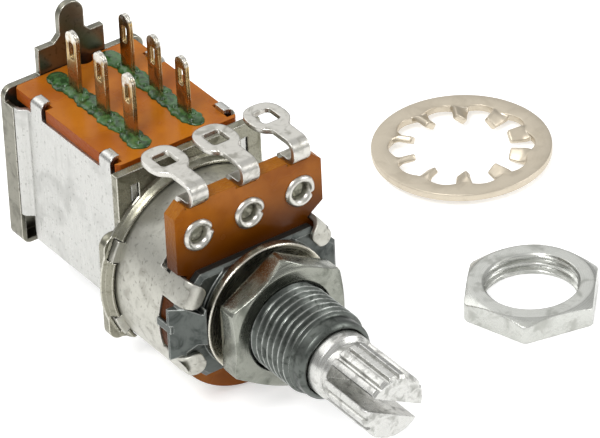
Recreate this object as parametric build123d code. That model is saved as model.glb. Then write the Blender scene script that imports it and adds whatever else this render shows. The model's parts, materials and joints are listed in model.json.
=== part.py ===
from build123d import *
import math
import os

# Rotary potentiometer with a push-pull switch behind it, drawn in millimetres.
# The shaft lies along Y and its knob end points to -Y. Z is up, towards the solder lugs.
# The origin is on the shaft's axis at the mounting face, where a panel would seat.
# Depths below are Y values: negative in front of the mounting face, positive behind it.

# Threaded bushing and die-cast mounting plate
thread_d = 7.9
engaged_thread_d = 7.5
bushing_length = 10.4
thread_length = 9.2
lead_d = 7.2
lead_chamfer = 0.35
boss_d = 12.0
boss_height = 0.4
plate_thickness = 1.05
plate_half_width = 7.9
plate_half_height = 5.1
plate_corner_cut = 2.3
plate_bevel = 0.35
locator_reach = 8.7
locator_front = 0.7
locator_root = 6.12
locator_half_height = 2.6
locator_web = 0.7
locator_web_height = 0.65

# Shaft
shaft_d = 6.0
bearing_clearance = 0.08
shaft_reach = 18.45
collar_reach = 11.8
collar_chamfer = 0.35
neck_d = 5.2
neck_length = 0.85
knurl_d = 5.9
spline_count = 18
spline_depth = 0.32
spline_share = 0.46
tip_chamfer = 0.3
slot_width = 1.2
slot_depth = 6.1
slot_turn = -29.0
drive_d = 5.2
drive_flats = 3.8
drive_start = 3.0
switch_journal_d = 4.0
clip_groove_d = 3.0
clip_thickness = 0.5
clip_d = 6.4
clip_mouth = 2.0
shaft_tail = 1.3
pull_travel = 3.0

# Phenolic terminal board of the potentiometer
board_thickness = 1.5
board_half_width = 7.35
board_top = 11.7
board_shoulder = 4.7
board_disc_inset = 0.2
board_corner_x = 1.0
board_corner_z = 0.9
notch_width = 2.05
notch_floor = 11.35
notch_shift = -0.15
terminal_pitch = 5.1
rivet_height = 8.5
rivet_flange_d = 3.0
rivet_shank_d = 1.8
rivet_bore_d = 1.1
rivet_flange_thickness = 0.35
rivet_clearance = 0.05
hub_hole_d = 7.2

# Solder lugs of the potentiometer
lug_thickness = 0.45
lug_width = 1.65
lug_pad_width = 2.8
lug_head_width = 3.5
lug_head_length = 4.0
lug_head_start = 3.85
lug_head_corner = 0.9
lug_hole_length = 1.95
lug_hole_width = 1.7
lug_hole_corner = 0.35
lug_level = 13.45
lug_seat_gap = 0.03
lug_nose_y = 1.03
lug_nose_radius = 0.85
lug_rear_radius = 0.3
lug_tail = 1.2

# Resistive track, collector, rotor and wiper
track_inner_d = 11.2
track_outer_d = 14.0
track_film = 0.1
track_gap_half_angle = 36.0
track_leg_width = 1.5
track_leg_overlap = 1.0
collector_inner_d = 8.0
collector_outer_d = 9.6
rotor_margin = 0.2
rotor_thickness = 1.2
rotor_disc_y = 4.5
rotor_hub_d = 7.0
rotor_back_y = 8.2
rotor_clearance = 0.06
stop_lug_height = 0.5
stop_lug_half_angle = 18.0
stop_post_width = 2.0
stop_post_depth = 0.6
stop_post_y = 5.4
wiper_sheet = 0.2
wiper_ring_d = 9.4
wiper_contact_gap = 0.04
wiper_finger_width = 1.2
wiper_root = 0.5
wiper_hub_gap = 0.15

# Can of the potentiometer
can_d = 17.0
can_wall = 0.45
can_back_y = 10.05
can_mouth_gap = 0.05
can_back_hole_d = 6.6
can_notch_z = 4.7
can_notch_depth = 1.3
can_tab_width = 2.3
can_tab_reach = 6.7
can_tab_thickness = 0.45
can_tab_angles = (152.0, 35.0, 203.0, 330.0)
can_ear_width = 1.9
can_ear_reach = 9.1
can_ear_angle = 24.5

# Front plate of the switch
front_plate_y = 10.1
front_plate_sheet = 0.8
front_plate_half_width = 7.25
front_plate_top = 10.4
ear_half_width = 8.93
ear_bottom = -5.4
ear_top = 4.85
ear_corner = 1.1
collar_clearance = 0.05
collar_wall = 0.42
collar_height = 0.75
collar_round = 0.12
collar_foot_radius = 0.55
shaft_hole_d = 6.6
ear_window_clearance = 0.1
tab_slot_x = 5.5
tab_slot_width = 0.8
tab_slot_low = 6.55
tab_slot_high = 9.1

# Switch housing, a folded channel
housing_half_width = 6.35
housing_sheet = 0.4
housing_top = 9.1
housing_bottom = -4.7
housing_end_y = 25.1
housing_bend = 0.8
flare_half_width = 7.05
flare_bend_y = 0.6
flare_depth = 0.95
flare_bottom = -1.7
board_tab_width = 2.0
board_tab_tip_width = 1.3
board_tab_y = (13.25, 23.65)
board_tab_reach = 5.3
detent_hole_d = 1.1
front_tab_gap = 0.1

# Back cover of the switch with its ground lug
cover_gap = 0.1
cover_sheet = 0.6
cover_half_width = 7.1
cover_bottom = -5.0
cover_step_1 = 10.24
cover_step_2 = 12.74
cover_step_left = -3.41
cover_step_right = 3.23
cover_flange_depth = 1.25
cover_flange_sheet = 0.45
cover_corner = 0.9
ground_lug_x = 0.08
ground_lug_width = 2.5
ground_lug_top = 16.18
ground_lug_fillet = 0.6

# Terminal board of the switch and what stands on it
switch_board_thickness = 1.14
switch_board_half_width = 6.08
switch_board_front_y = 11.7
switch_board_end_gap = 0.1
edge_notch_depth = 0.75
edge_notch_extra = 0.25
rear_notch_x = 0.9
rear_notch_r = 0.9
row_x = (-2.45, 2.9)
contact_y = (14.9, 19.1, 23.3)
blade_sheet = 0.4
blade_width = 1.55
blade_tops = (16.3, 15.85)
eye_width = 0.75
eye_length = 1.7
eye_drop = 1.9
blade_clearance = 0.05
pad_width = 1.6
pad_length = 3.2
pad_sheet = 0.3
sealant_height = 0.35
sealant_front_y = 12.5
sealant_end_gap = 0.3
sealant_edge = 0.2
sealant_spans = ((-3.35, -1.75), (2.1, 3.6))

# Slider of the switch and its contacts
slider_front_y = 15.2
slider_back_y = 24.4
slider_half_width = 5.75
slider_bottom = -3.4
slider_top = 7.3
slider_wall = 2.0
clip_room_half = 4.0
clip_room_length = 4.2
contact_sheet = 0.25
contact_width = 1.4
contact_gap = 0.05
contact_pocket = 1.0
detent_sheet = 0.2
detent_width = 3.0
detent_knuckle_y = 16.2
detent_gap = 0.03

# Mounting hardware
flat_washer_d = 12.1
flat_washer_thickness = 0.7
washer_bore_d = 8.2
washer_gap = 1.0
nut_width = 11.0
nut_thickness = 2.2
nut_bore_d = 8.0
nut_bore_chamfer = 0.3
nut_corner_chamfer = 0.45
nut_turn = 30.0

# Loose lock washer and spare nut lying on the table beside the part
table_z = -can_d / 2
lock_washer_d = 16.2
lock_ring_inner_d = 13.2
lock_tooth_tip_d = 8.6
lock_tooth_count = 10
lock_tooth_width = 1.7
lock_tooth_twist = 38.0
lock_sheet = 0.7
lock_washer_at = (33.5, 17.8)
lock_washer_turn = 24.0
spare_nut_at = (24.8, -3.8)
spare_nut_turn = 47.7

# Places worked out from the sizes above
plate_back_y = boss_height + plate_thickness
board_back_y = plate_back_y + board_thickness
can_mouth_y = board_back_y + can_mouth_gap
bore_d = shaft_d + 2 * bearing_clearance
front_plate_back_y = front_plate_y + front_plate_sheet
rotor_d = track_outer_d + 2 * rotor_margin
lug_step_z = notch_floor + lug_seat_gap + lug_thickness / 2
flare_end_y = housing_end_y + flare_depth
cover_front_y = flare_end_y + cover_gap + cover_flange_depth
cover_back_y = cover_front_y + cover_sheet
switch_board_top = housing_top + switch_board_thickness
switch_board_back_y = cover_front_y - switch_board_end_gap
sealant_back_y = switch_board_back_y - sealant_end_gap
nut_back_y = -(flat_washer_thickness + washer_gap)
nut_front_y = nut_back_y - nut_thickness
inner_half_width = housing_half_width - housing_sheet
inner_bottom = housing_bottom + housing_sheet
slider_wall_back_y = slider_front_y + slider_wall
clip_y = slider_wall_back_y + 0.15
shaft_end_y = clip_y + clip_thickness + shaft_tail
terminal_xs = (-terminal_pitch, 0.0, terminal_pitch)
can_mouth_r = can_d / 2 - can_wall
board_disc_d = can_d - 2 * board_disc_inset
can_ear_angles = (can_ear_angle, 180 - can_ear_angle, 180 + can_ear_angle, -can_ear_angle)


def slab(sketch, front_y, back_y):
    """Solid from an outline drawn in X and Z, between two depths."""
    return extrude(Plane.XZ.offset(-back_y) * sketch, back_y - front_y, dir=(0, -1, 0))


def across(sketch, low_x, high_x):
    """Solid from a side profile drawn in Y and Z, between two X places."""
    return extrude(Plane.YZ.offset(low_x) * sketch, high_x - low_x, dir=(1, 0, 0))


def layer(sketch, low_z, high_z):
    """Solid from a plan drawn in X and Y, between two heights."""
    return extrude(Plane.XY.offset(low_z) * sketch, high_z - low_z, dir=(0, 0, 1))


def turned(points):
    """Solid turned about the shaft's axis from (radius, depth) points."""
    return revolve(make_face(Polyline(*points, close=True)), Axis.Y, 360)


def tube(outer_d, inner_d, front_y, back_y):
    """Plain ring round the shaft's axis."""
    return slab(Circle(outer_d / 2) - Circle(inner_d / 2), front_y, back_y)


def block(x_span, y_span, z_span):
    """Cut or fill block between three pairs of limits."""
    size = [abs(b - a) for a, b in (x_span, y_span, z_span)]
    centre = [(a + b) / 2 for a, b in (x_span, y_span, z_span)]
    return Pos(*centre) * Box(*size)


def rounded(points, radius):
    """Closed outline with every corner rounded alike."""
    return make_face(FilletPolyline(*points, radius=radius, close=True))


def strip(points, radii, sheet):
    """Edge view of a bent sheet that follows the given centre line."""
    return trace(FilletPolyline(*points, radius=radii), line_width=sheet)


def rim_block(angle, width, inner_r, outer_r, front_y, back_y):
    """Piece of a round rim with parallel sides, centred on an angle."""
    bar = Rot(0, 0, angle) * Pos((inner_r + outer_r) / 2, 0) * Rectangle(outer_r - inner_r + 2, width)
    ring = Circle(outer_r) - Circle(inner_r)
    return slab(bar & ring, front_y, back_y)


# The casting: threaded bushing, boss and plate in one piece
def plate_outline(inset):
    w = plate_half_width - inset
    h = plate_half_height - inset
    c = plate_corner_cut - 0.6 * inset
    corners = [(w, h - c), (w - c, h), (c - w, h), (-w, h - c)]
    return Polygon(*corners, *[(-x, -z) for x, z in corners], align=None)


def locating_block():
    """Wedge on the left side that stops the body turning in a keyed panel."""
    plan = Polygon(
        (-locator_root, -locator_front),
        (-locator_reach, plate_back_y - 0.25),
        (-locator_reach, plate_back_y),
        (-locator_root, plate_back_y),
        align=None,
    )
    wedge = layer(plan, -locator_half_height, locator_half_height)
    slant = Polygon(
        (-locator_reach + 0.3, -locator_half_height - 1),
        (-locator_reach + 0.3, -locator_half_height),
        (-locator_root - 0.7, -locator_half_height + 1.66),
        (-locator_root + 1.0, -locator_half_height + 1.66),
        (-locator_root + 1.0, -locator_half_height - 1),
        align=None,
    )
    wedge -= slab(slant, -locator_front - 1, boss_height)
    web_low = locator_web_height - locator_web / 2
    disc_r = board_disc_d / 2
    return wedge + block(
        (-locator_reach, -disc_r - 0.08),
        (plate_back_y - 0.5, board_back_y),
        (web_low, web_low + locator_web),
    )


def make_mounting_bushing():
    front = loft([
        Plane.XZ.offset(-boss_height) * plate_outline(plate_bevel),
        Plane.XZ.offset(-boss_height - plate_bevel) * plate_outline(0),
    ])
    body = front + slab(plate_outline(0), boss_height + plate_bevel, plate_back_y)
    body += slab(Circle(boss_d / 2) & plate_outline(plate_bevel / 2), 0, plate_back_y)
    free_y = nut_front_y - 0.15
    body += turned([
        (0, 0.2),
        (engaged_thread_d / 2, 0.2),
        (engaged_thread_d / 2, free_y),
        (thread_d / 2, free_y),
        (thread_d / 2, -thread_length),
        (lead_d / 2, -thread_length - (thread_d - lead_d) / 2),
        (lead_d / 2, lead_chamfer - bushing_length),
        (lead_d / 2 - lead_chamfer, -bushing_length),
        (0, -bushing_length),
    ])
    body += locating_block()
    post_r = board_disc_d / 2 - 0.45
    body += block(
        (-stop_post_width / 2, stop_post_width / 2),
        (plate_back_y - 0.5, stop_post_y),
        (-post_r, stop_post_depth - post_r),
    ) + block(
        (-stop_post_width / 2, stop_post_width / 2),
        (boss_height + 0.4, plate_back_y),
        (-post_r, 0.5 - plate_half_height),
    )
    strap_r = can_d / 2 - can_wall - 0.04
    for angle in can_tab_angles:
        body -= rim_block(angle, can_tab_width + 0.1, strap_r, strap_r + 2, boss_height - 1, plate_back_y + 1)
        body -= rim_block(angle, can_tab_width + 0.1, can_tab_reach - 0.04, strap_r + 2, boss_height - 1, boss_height)
    return body - slab(Circle(bore_d / 2), -bushing_length - 1, plate_back_y + 1)


# The shaft: knurled and slotted end, bearing journal, flatted drive and switch journal
def knurl_profile():
    radius = knurl_d / 2
    half = math.pi * radius * (1 - spline_share) / spline_count
    groove = Polygon(
        (radius + 0.3, half * 1.5),
        (radius - spline_depth, half * 0.3),
        (radius - spline_depth, -half * 0.3),
        (radius + 0.3, -half * 1.5),
        align=None,
    )
    return Circle(radius) - PolarLocations(0, spline_count) * groove


def make_shaft():
    neck_y = -collar_reach - neck_length
    tip_y = -shaft_reach
    r = shaft_d / 2
    journal = turned([
        (0, drive_start),
        (r, drive_start),
        (r, collar_chamfer - collar_reach),
        (r - collar_chamfer, -collar_reach),
        (neck_d / 2, -collar_reach),
        (neck_d / 2, neck_y - 0.2),
        (0, neck_y - 0.2),
    ])
    tip_cone = turned([
        (0, neck_y),
        (knurl_d / 2 + 0.1, neck_y),
        (knurl_d / 2 + 0.1, tip_y + tip_chamfer + 0.1),
        (knurl_d / 2 - tip_chamfer, tip_y),
        (0, tip_y),
    ])
    knurl = slab(knurl_profile(), tip_y, neck_y) & tip_cone
    drive_outline = Circle(drive_d / 2) & Rectangle(drive_flats, drive_d)
    drive = slab(drive_outline, drive_start - 0.5, slider_front_y - 0.1)
    tail = turned([
        (0, slider_front_y - 0.6),
        (switch_journal_d / 2, slider_front_y - 0.6),
        (switch_journal_d / 2, clip_y),
        (clip_groove_d / 2, clip_y),
        (clip_groove_d / 2, clip_y + clip_thickness + 0.05),
        (switch_journal_d / 2, clip_y + clip_thickness + 0.05),
        (switch_journal_d / 2, shaft_end_y),
        (0, shaft_end_y),
    ])
    body = journal + knurl + drive + tail
    blade = Rot(0, 0, slot_turn) * Rectangle(knurl_d + 2, slot_width)
    return body - slab(blade, tip_y - 1, tip_y + slot_depth)


def make_shaft_clip():
    """Retaining ring that snaps into the shaft's groove behind the slider's wall."""
    ring = Circle(clip_d / 2) - Circle(clip_groove_d / 2 + 0.03)
    ring -= Pos(0, -clip_d / 2) * Rectangle(clip_mouth, clip_d)
    return slab(ring, clip_y + 0.02, clip_y + clip_thickness)


# The terminal board and what is riveted to it
def make_terminal_board():
    w = board_half_width
    top = board_top
    outline = Polygon(
        (-w, board_shoulder),
        (-w, top - board_corner_z),
        (board_corner_x - w, top),
        (w - board_corner_x, top),
        (w, top - board_corner_z),
        (w, board_shoulder),
        (w - 0.9, board_shoulder - 0.8),
        (0.9 - w, board_shoulder - 0.8),
        align=None,
    )
    body = slab(outline, plate_back_y, board_back_y)
    body += slab(Circle(board_disc_d / 2), plate_back_y, board_back_y)
    cuts = Circle(hub_hole_d / 2)
    for x in terminal_xs:
        notch_height = top - notch_floor + 1
        cuts += Pos(x + notch_shift, notch_floor + notch_height / 2) * Rectangle(notch_width, notch_height)
        cuts += Pos(x, rivet_height) * Circle(rivet_shank_d / 2 + rivet_clearance)
    body -= slab(cuts, plate_back_y - 1, board_back_y + 1)
    inner_r = can_d / 2 - can_wall - 0.06
    for angle in can_tab_angles:
        body -= rim_block(angle, can_tab_width + 0.3, inner_r, inner_r + 3, 0, board_back_y + 1)
    post_r = board_disc_d / 2 - 0.45
    body -= block(
        (-stop_post_width / 2 - 0.08, stop_post_width / 2 + 0.08),
        (0, board_back_y + 1),
        (-post_r - 0.08, stop_post_depth - post_r + 0.08),
    )
    return body


def make_board_rivets():
    """Three hollow eyelets with flanges rolled over both faces."""
    front = plate_back_y
    back = board_back_y + lug_thickness
    t = rivet_flange_thickness
    bore = rivet_bore_d / 2
    shank = rivet_shank_d / 2
    flange = rivet_flange_d / 2
    eyelet = turned([
        (bore, front - t),
        (flange, front - t / 2),
        (flange, front),
        (shank, front),
        (shank, back),
        (flange - t, back),
        (bore, back + t),
    ])
    return [Pos(x, 0, rivet_height) * eyelet for x in terminal_xs]


def lug_line():
    """Centre line of a lug, from behind the board through its notch, round a nose and back."""
    rear = board_back_y + lug_thickness / 2
    return [
        (rear, rivet_height + lug_tail),
        (rear, lug_step_z),
        (lug_nose_y, lug_step_z),
        (lug_nose_y, lug_level),
        (lug_head_start + lug_head_length, lug_level),
    ]


def make_solder_lug(x):
    radii = [lug_rear_radius, lug_nose_radius, lug_nose_radius]
    body = across(strip(lug_line(), radii, lug_thickness), x - lug_width / 2, x + lug_width / 2)
    head_end = lug_head_start + lug_head_length
    head_mid = lug_head_start + lug_head_length / 2
    low = lug_level - lug_thickness / 2
    high = lug_level + lug_thickness / 2
    head = Pos(x, head_mid) * Rectangle(lug_head_width, lug_head_length)
    head = chamfer(head.vertices(), lug_head_corner)
    body -= block((x - lug_width, x + lug_width), (head_mid, head_end + 1), (low - 1, high + 1))
    pad = Pos(x, rivet_height) * Rectangle(lug_pad_width, lug_pad_width)
    pad -= Pos(x, rivet_height) * Circle(rivet_shank_d / 2 + rivet_clearance)
    body += layer(head, low, high)
    body += slab(pad, board_back_y, board_back_y + lug_thickness)
    hole = Pos(x, head_mid) * Rectangle(lug_hole_width, lug_hole_length)
    hole = chamfer(hole.vertices(), lug_hole_corner)
    return body - layer(hole, low - 1, high + 1)


def make_resistive_track():
    """Horseshoe of carbon film with a straight leg up to each outer rivet."""
    ring = Circle(track_outer_d / 2) - Circle(track_inner_d / 2)
    a = math.radians(90 - track_gap_half_angle)
    reach = track_outer_d
    ring -= Polygon((0, 0), (reach * math.cos(a), reach * math.sin(a)), (0, 2 * reach),
                    (-reach * math.cos(a), reach * math.sin(a)), align=None)
    leg_top = rivet_height - lug_pad_width / 2 - 0.4
    leg_low = (track_inner_d + track_outer_d) / 4 * math.sin(a) - track_leg_overlap
    for side in (-1, 1):
        ring += Pos(side * terminal_pitch, (leg_top + leg_low) / 2) * Rectangle(track_leg_width, leg_top - leg_low)
    return slab(ring, board_back_y, board_back_y + track_film)


def make_collector_ring():
    """Conducting ring round the hub hole with a leg up to the middle rivet."""
    ring = Circle(collector_outer_d / 2) - Circle(collector_inner_d / 2)
    leg_top = rivet_height - lug_pad_width / 2 - 0.4
    leg_low = collector_outer_d / 2 - 0.4
    ring += Pos(0, (leg_top + leg_low) / 2) * Rectangle(1.2, leg_top - leg_low)
    return slab(ring, board_back_y, board_back_y + track_film)


# The rotor that the shaft's flats turn
def make_rotor():
    disc_back = rotor_disc_y + rotor_thickness
    body = slab(Circle(rotor_d / 2), rotor_disc_y, disc_back)
    lug_r = rotor_d / 2 + stop_lug_height
    a = math.radians(stop_lug_half_angle)
    wedge = Polygon((0, 0), (-2 * lug_r * math.tan(a), 2 * lug_r), (2 * lug_r * math.tan(a), 2 * lug_r), align=None)
    body += slab(Circle(lug_r) & wedge, rotor_disc_y, disc_back)
    body += slab(Circle(rotor_hub_d / 2), plate_back_y + 0.15, rotor_back_y)
    drive = Circle(drive_d / 2 + rotor_clearance) & Rectangle(drive_flats + 2 * rotor_clearance, 2 * drive_d)
    body -= slab(drive, plate_back_y, rotor_back_y + 1)
    return body - slab(Circle(shaft_d / 2 + bearing_clearance), plate_back_y - 1, drive_start + 0.25)


def make_wiper():
    """Spring sheet on the rotor's face, with one finger on the track and one on the collector."""
    back = rotor_disc_y
    touch = board_back_y + track_film + wiper_contact_gap
    body = tube(wiper_ring_d, rotor_hub_d + 2 * wiper_hub_gap, back - wiper_sheet, back)
    root = back - wiper_sheet / 2
    tip = touch + wiper_sheet / 2
    track_z = -(track_inner_d + track_outer_d) / 4
    collector_z = (collector_inner_d + collector_outer_d) / 4
    half = wiper_finger_width / 2
    track_line = Polyline((root, wiper_root - wiper_ring_d / 2), (tip, track_z))
    collector_line = Polyline((root, collector_z - wiper_hub_gap), (tip, collector_z))
    body += across(trace(track_line, line_width=wiper_sheet), -half, half)
    return body + across(trace(collector_line, line_width=wiper_sheet), -half, half)


# The can: drawn cup, four folded tabs in front, four hooked ears behind
def make_can():
    r = can_d / 2
    inner = r - can_wall
    cup = turned([
        (inner, can_mouth_y),
        (r, can_mouth_y),
        (r, can_back_y - 0.25),
        (r - 0.25, can_back_y),
        (can_back_hole_d / 2, can_back_y),
        (can_back_hole_d / 2, can_back_y - can_wall),
        (inner, can_back_y - can_wall),
    ])
    cup -= block((-r - 1, r + 1), (can_mouth_y - 1, can_mouth_y + can_notch_depth), (can_notch_z, r + 1))
    face = boss_height
    for angle in can_tab_angles:
        cup += rim_block(angle, can_tab_width, inner, r, face - can_tab_thickness, can_mouth_y + 0.5)
        cup += rim_block(angle, can_tab_width, can_tab_reach, r, face - can_tab_thickness, face)
    for angle in can_ear_angles:
        cup += rim_block(angle, can_ear_width, inner, can_ear_reach, can_back_y - can_wall, can_back_y)
    return cup


# The front plate of the switch: ears, windows, slots and a drawn collar round the can
def front_plate_outline():
    w = front_plate_half_width
    e = ear_half_width
    low = ear_bottom
    main = Polygon((-w, low), (-w, front_plate_top), (w, front_plate_top), (w, low), align=None)
    ears = rounded([(-e, low), (-e, ear_top), (e, ear_top), (e, low)], ear_corner)
    return main + ears


def make_switch_front_plate():
    inner = can_d / 2 + collar_clearance
    outer = inner + collar_wall
    front = front_plate_y - collar_height
    flat = slab(front_plate_outline(), front_plate_y, front_plate_back_y)
    foot = collar_foot_radius
    start = front_plate_y - foot
    rise = [(outer + foot * (1 - math.cos(a)), start + foot * math.sin(a)) for a in (0, math.pi / 4)]
    ring = turned([
        (inner, front + collar_round),
        (inner + collar_round, front),
        (outer - collar_round, front),
        *rise,
        (outer + foot, front_plate_y + 0.1),
        (inner, front_plate_y + 0.1),
    ])
    ring &= block((-outer - foot, outer + foot), (front - 1, front_plate_back_y), (ear_bottom, outer + foot))
    body = flat + ring
    body -= slab(Circle(shaft_hole_d / 2), front_plate_y - 1, front_plate_back_y + 1)
    for angle in can_ear_angles:
        width = can_ear_width + 2 * ear_window_clearance
        length = can_ear_reach + ear_window_clearance - can_mouth_r
        window = Rot(0, 0, angle) * Pos(can_mouth_r + length / 2, 0) * Rectangle(length, width)
        body -= slab(window, front - 1, front_plate_y)
    slot_mid = (tab_slot_low + tab_slot_high) / 2
    slot = Rectangle(tab_slot_width, tab_slot_high - tab_slot_low)
    for side in (-1, 1):
        place = Pos(side * tab_slot_x, slot_mid)
        body -= slab(place * slot, front_plate_y, front_plate_back_y + 1)
    return body


# The switch housing: a folded channel with flared ends and tabs
def wall_flare(side):
    """Stretch of side wall that bends outwards to meet the back cover."""
    mid = housing_half_width - housing_sheet / 2
    out = flare_half_width - housing_sheet / 2
    line = [
        (side * mid, housing_end_y - 1.0),
        (side * mid, housing_end_y + 0.1),
        (side * out, housing_end_y + flare_bend_y),
        (side * out, flare_end_y),
    ]
    return layer(strip(line, [0.5, 0.35], housing_sheet), flare_bottom, housing_top)


def board_tab(side, y):
    """Finger that rises beside the board and folds over it."""
    mid = housing_half_width - housing_sheet / 2
    lift = switch_board_top + 0.02 + housing_sheet / 2
    line = [(side * mid, housing_top - 0.5), (side * mid, lift), (side * board_tab_reach, lift)]
    bar = slab(strip(line, [0.5], housing_sheet), y - board_tab_width / 2, y + board_tab_width / 2)
    wide = board_tab_width / 2
    tip = board_tab_tip_width / 2
    root_x = side * (housing_half_width + 1)
    mid_x = side * (housing_half_width - 2 * housing_sheet)
    tip_x = side * board_tab_reach
    plan = Polygon((root_x, y - wide), (root_x, y + wide), (mid_x, y + tip), (tip_x, y + tip),
                   (tip_x, y - tip), (mid_x, y - tip), align=None)
    return bar & layer(plan, housing_top - 1, lift + 1)


def make_switch_housing():
    h = housing_half_width
    mid = h - housing_sheet / 2
    low = housing_bottom + housing_sheet / 2
    channel = strip([(-mid, housing_top), (-mid, low), (mid, low), (mid, housing_top)],
                    housing_bend, housing_sheet)
    body = slab(channel, front_plate_back_y, housing_end_y)
    lift = housing_bottom + 1.4
    corner = Polygon((housing_end_y + 1, housing_bottom - 1), (housing_end_y + 1, lift),
                     (housing_end_y, lift), (housing_end_y - 0.5, housing_bottom - 1), align=None)
    body -= across(corner, -h - 1, h + 1)
    tab_low = tab_slot_low + front_tab_gap
    tab_high = tab_slot_high - front_tab_gap
    tab_half = tab_slot_width / 2 - front_tab_gap
    for side in (-1, 1):
        body += wall_flare(side)
        for y in board_tab_y:
            body += board_tab(side, y)
        inner = side * (tab_slot_x - tab_half)
        outer = side * (tab_slot_x + tab_half)
        root_y = front_plate_back_y + 1.0
        body += block((inner, outer), (front_plate_y + front_tab_gap, root_y), (tab_low, tab_high))
        body += block((inner, side * mid), (front_plate_back_y + 0.4, root_y), (tab_low, tab_high))
    for y in (detent_knuckle_y, detent_knuckle_y - pull_travel):
        body -= Pos(0, y, housing_bottom) * Cylinder(detent_hole_d / 2, 2)
    return body


# The back cover: stepped sheet with folded edges and the ground lug
def cover_outline():
    w = cover_half_width
    x = ground_lug_x
    half = ground_lug_width / 2
    plate = rounded([(-w, cover_bottom), (-w, cover_step_1), (w, cover_step_1), (w, cover_bottom)], cover_corner)
    step = Polygon((cover_step_left, 0), (cover_step_left, cover_step_2), (cover_step_right, cover_step_2),
                   (cover_step_right, 0), align=None)
    lug = Polygon((x - half, 0), (x - half, ground_lug_top - half), (x + half, ground_lug_top - half), (x + half, 0),
                  align=None)
    f = ground_lug_fillet
    root = Polygon((x - half - f, cover_step_2), (x - half, cover_step_2 + f), (x + half, cover_step_2 + f),
                   (x + half + f, cover_step_2), align=None)
    return plate + step + lug + root + Pos(x, ground_lug_top - half) * Circle(half)


def make_back_cover():
    body = slab(cover_outline(), cover_front_y, cover_back_y)
    w = cover_half_width
    t = cover_flange_sheet
    outer = rounded([(-w, cover_bottom), (-w, cover_step_1), (w, cover_step_1), (w, cover_bottom)], cover_corner)
    inner = Pos(0, (cover_bottom + t + cover_step_1) / 2) * Rectangle(2 * (w - t), cover_step_1 - cover_bottom - t)
    inner += Pos(0, cover_step_1) * Rectangle(2 * w, 2.4)
    return body + slab(outer - inner, cover_front_y - cover_flange_depth, cover_front_y + 0.1)


# The switch's own terminal board, terminals and sealant
def make_switch_board():
    w = switch_board_half_width
    front = switch_board_front_y
    back = switch_board_back_y
    plan = Polygon((-w, front), (-w, back), (w, back), (w, front), align=None)
    plan = chamfer(plan.vertices(), 0.3)
    for y in board_tab_y:
        for side in (-1, 1):
            plan -= Pos(side * w, y) * Rectangle(2 * edge_notch_depth, board_tab_width + edge_notch_extra)
    plan -= Pos(rear_notch_x, back) * Circle(rear_notch_r)
    for x in row_x:
        for y in contact_y:
            plan -= Pos(x, y) * Rectangle(blade_sheet + 2 * blade_clearance, blade_width + 2 * blade_clearance)
    return layer(plan, housing_top, switch_board_top)


def make_switch_terminal(index, y):
    """Upright blade with an eye, and a contact pad folded flat under the board."""
    x = row_x[index]
    top = blade_tops[index]
    half = blade_width / 2
    low = housing_top - pad_sheet
    face = Polygon((y - half, low), (y - half, top - half), (y + half, top - half), (y + half, low), align=None)
    face += Pos(y, top - half) * Circle(half)
    eye = Pos(y, top - eye_drop) * Rectangle(eye_width, eye_length)
    face -= chamfer(eye.vertices(), eye_width / 3)
    pad_top = housing_top - 0.02
    pad = block((x - pad_width / 2, x + pad_width / 2), (y - pad_length / 2, y + pad_length / 2), (low, pad_top))
    return across(face, x - blade_sheet / 2, x + blade_sheet / 2) + pad


def make_sealant(index):
    """Bead of resin poured along one row of terminals."""
    low_x, high_x = sealant_spans[index]
    body = block((low_x, high_x), (sealant_front_y, sealant_back_y), (switch_board_top, switch_board_top + sealant_height))
    top_edges = body.faces().sort_by(Axis.Z)[-1].edges()
    body = chamfer(top_edges, sealant_edge)
    gap = blade_clearance
    for y in contact_y:
        body -= block((row_x[index] - blade_sheet / 2 - gap, row_x[index] + blade_sheet / 2 + gap),
                      (y - blade_width / 2 - gap, y + blade_width / 2 + gap),
                      (switch_board_top - 1, switch_board_top + 2))
    return body


# The slider that the shaft pulls, with its bridging contacts and detent spring
def make_switch_slider():
    w = slider_half_width
    front = slider_front_y
    back = slider_back_y
    body = block((-w, w), (front, back), (slider_bottom, slider_top))
    side_edges = body.edges().filter_by(Axis.Y)
    body = chamfer(side_edges, 0.4)
    room = clip_room_half
    body -= block((-room, room), (slider_wall_back_y, slider_wall_back_y + clip_room_length),
                  (slider_bottom - 1, room))
    body -= slab(Circle(switch_journal_d / 2 + bearing_clearance), front - 1, slider_wall_back_y + 1)
    for x in row_x:
        half = contact_width / 2 + contact_gap
        body -= block((x - half, x + half), (bridge_front_y() - 0.1, bridge_back_y() + 0.1),
                      (slider_top - contact_pocket, slider_top + 1))
    return body


def bridge_front_y():
    return contact_y[1] - 0.8


def bridge_back_y():
    return contact_y[2] + 0.8


def make_bridge_contact(x):
    """Double-humped leaf that joins two neighbouring pads under the board."""
    first = contact_y[1]
    last = contact_y[2]
    mid = (first + last) / 2
    crest = housing_top - 0.02 - pad_sheet - contact_gap - contact_sheet / 2
    foot = slider_top - contact_pocket + contact_gap + contact_sheet / 2
    line = [
        (bridge_front_y(), crest - 0.9), (first, crest), (first + 0.9, crest - 0.9), (mid - 0.6, foot),
        (mid + 0.6, foot), (last - 0.9, crest - 0.9), (last, crest), (bridge_back_y(), crest - 0.9),
    ]
    bent = trace(Polyline(*line), line_width=contact_sheet)
    return across(bent, x - contact_width / 2, x + contact_width / 2)


def make_detent_spring():
    """Leaf under the slider whose knuckle clicks into two holes in the housing."""
    rest = slider_bottom - 0.02 - detent_sheet / 2
    knuckle = inner_bottom + detent_gap + detent_sheet / 2
    start = slider_wall_back_y + clip_room_length + 0.6
    line = [(slider_back_y - 0.3, rest), (start, rest), (detent_knuckle_y + 0.9, rest - 0.1),
            (detent_knuckle_y, knuckle), (detent_knuckle_y - 0.7, rest - 0.1)]
    bent = strip(line, [0.5, 0.2, 0.25], detent_sheet)
    return across(bent, -detent_width / 2, detent_width / 2)


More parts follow.
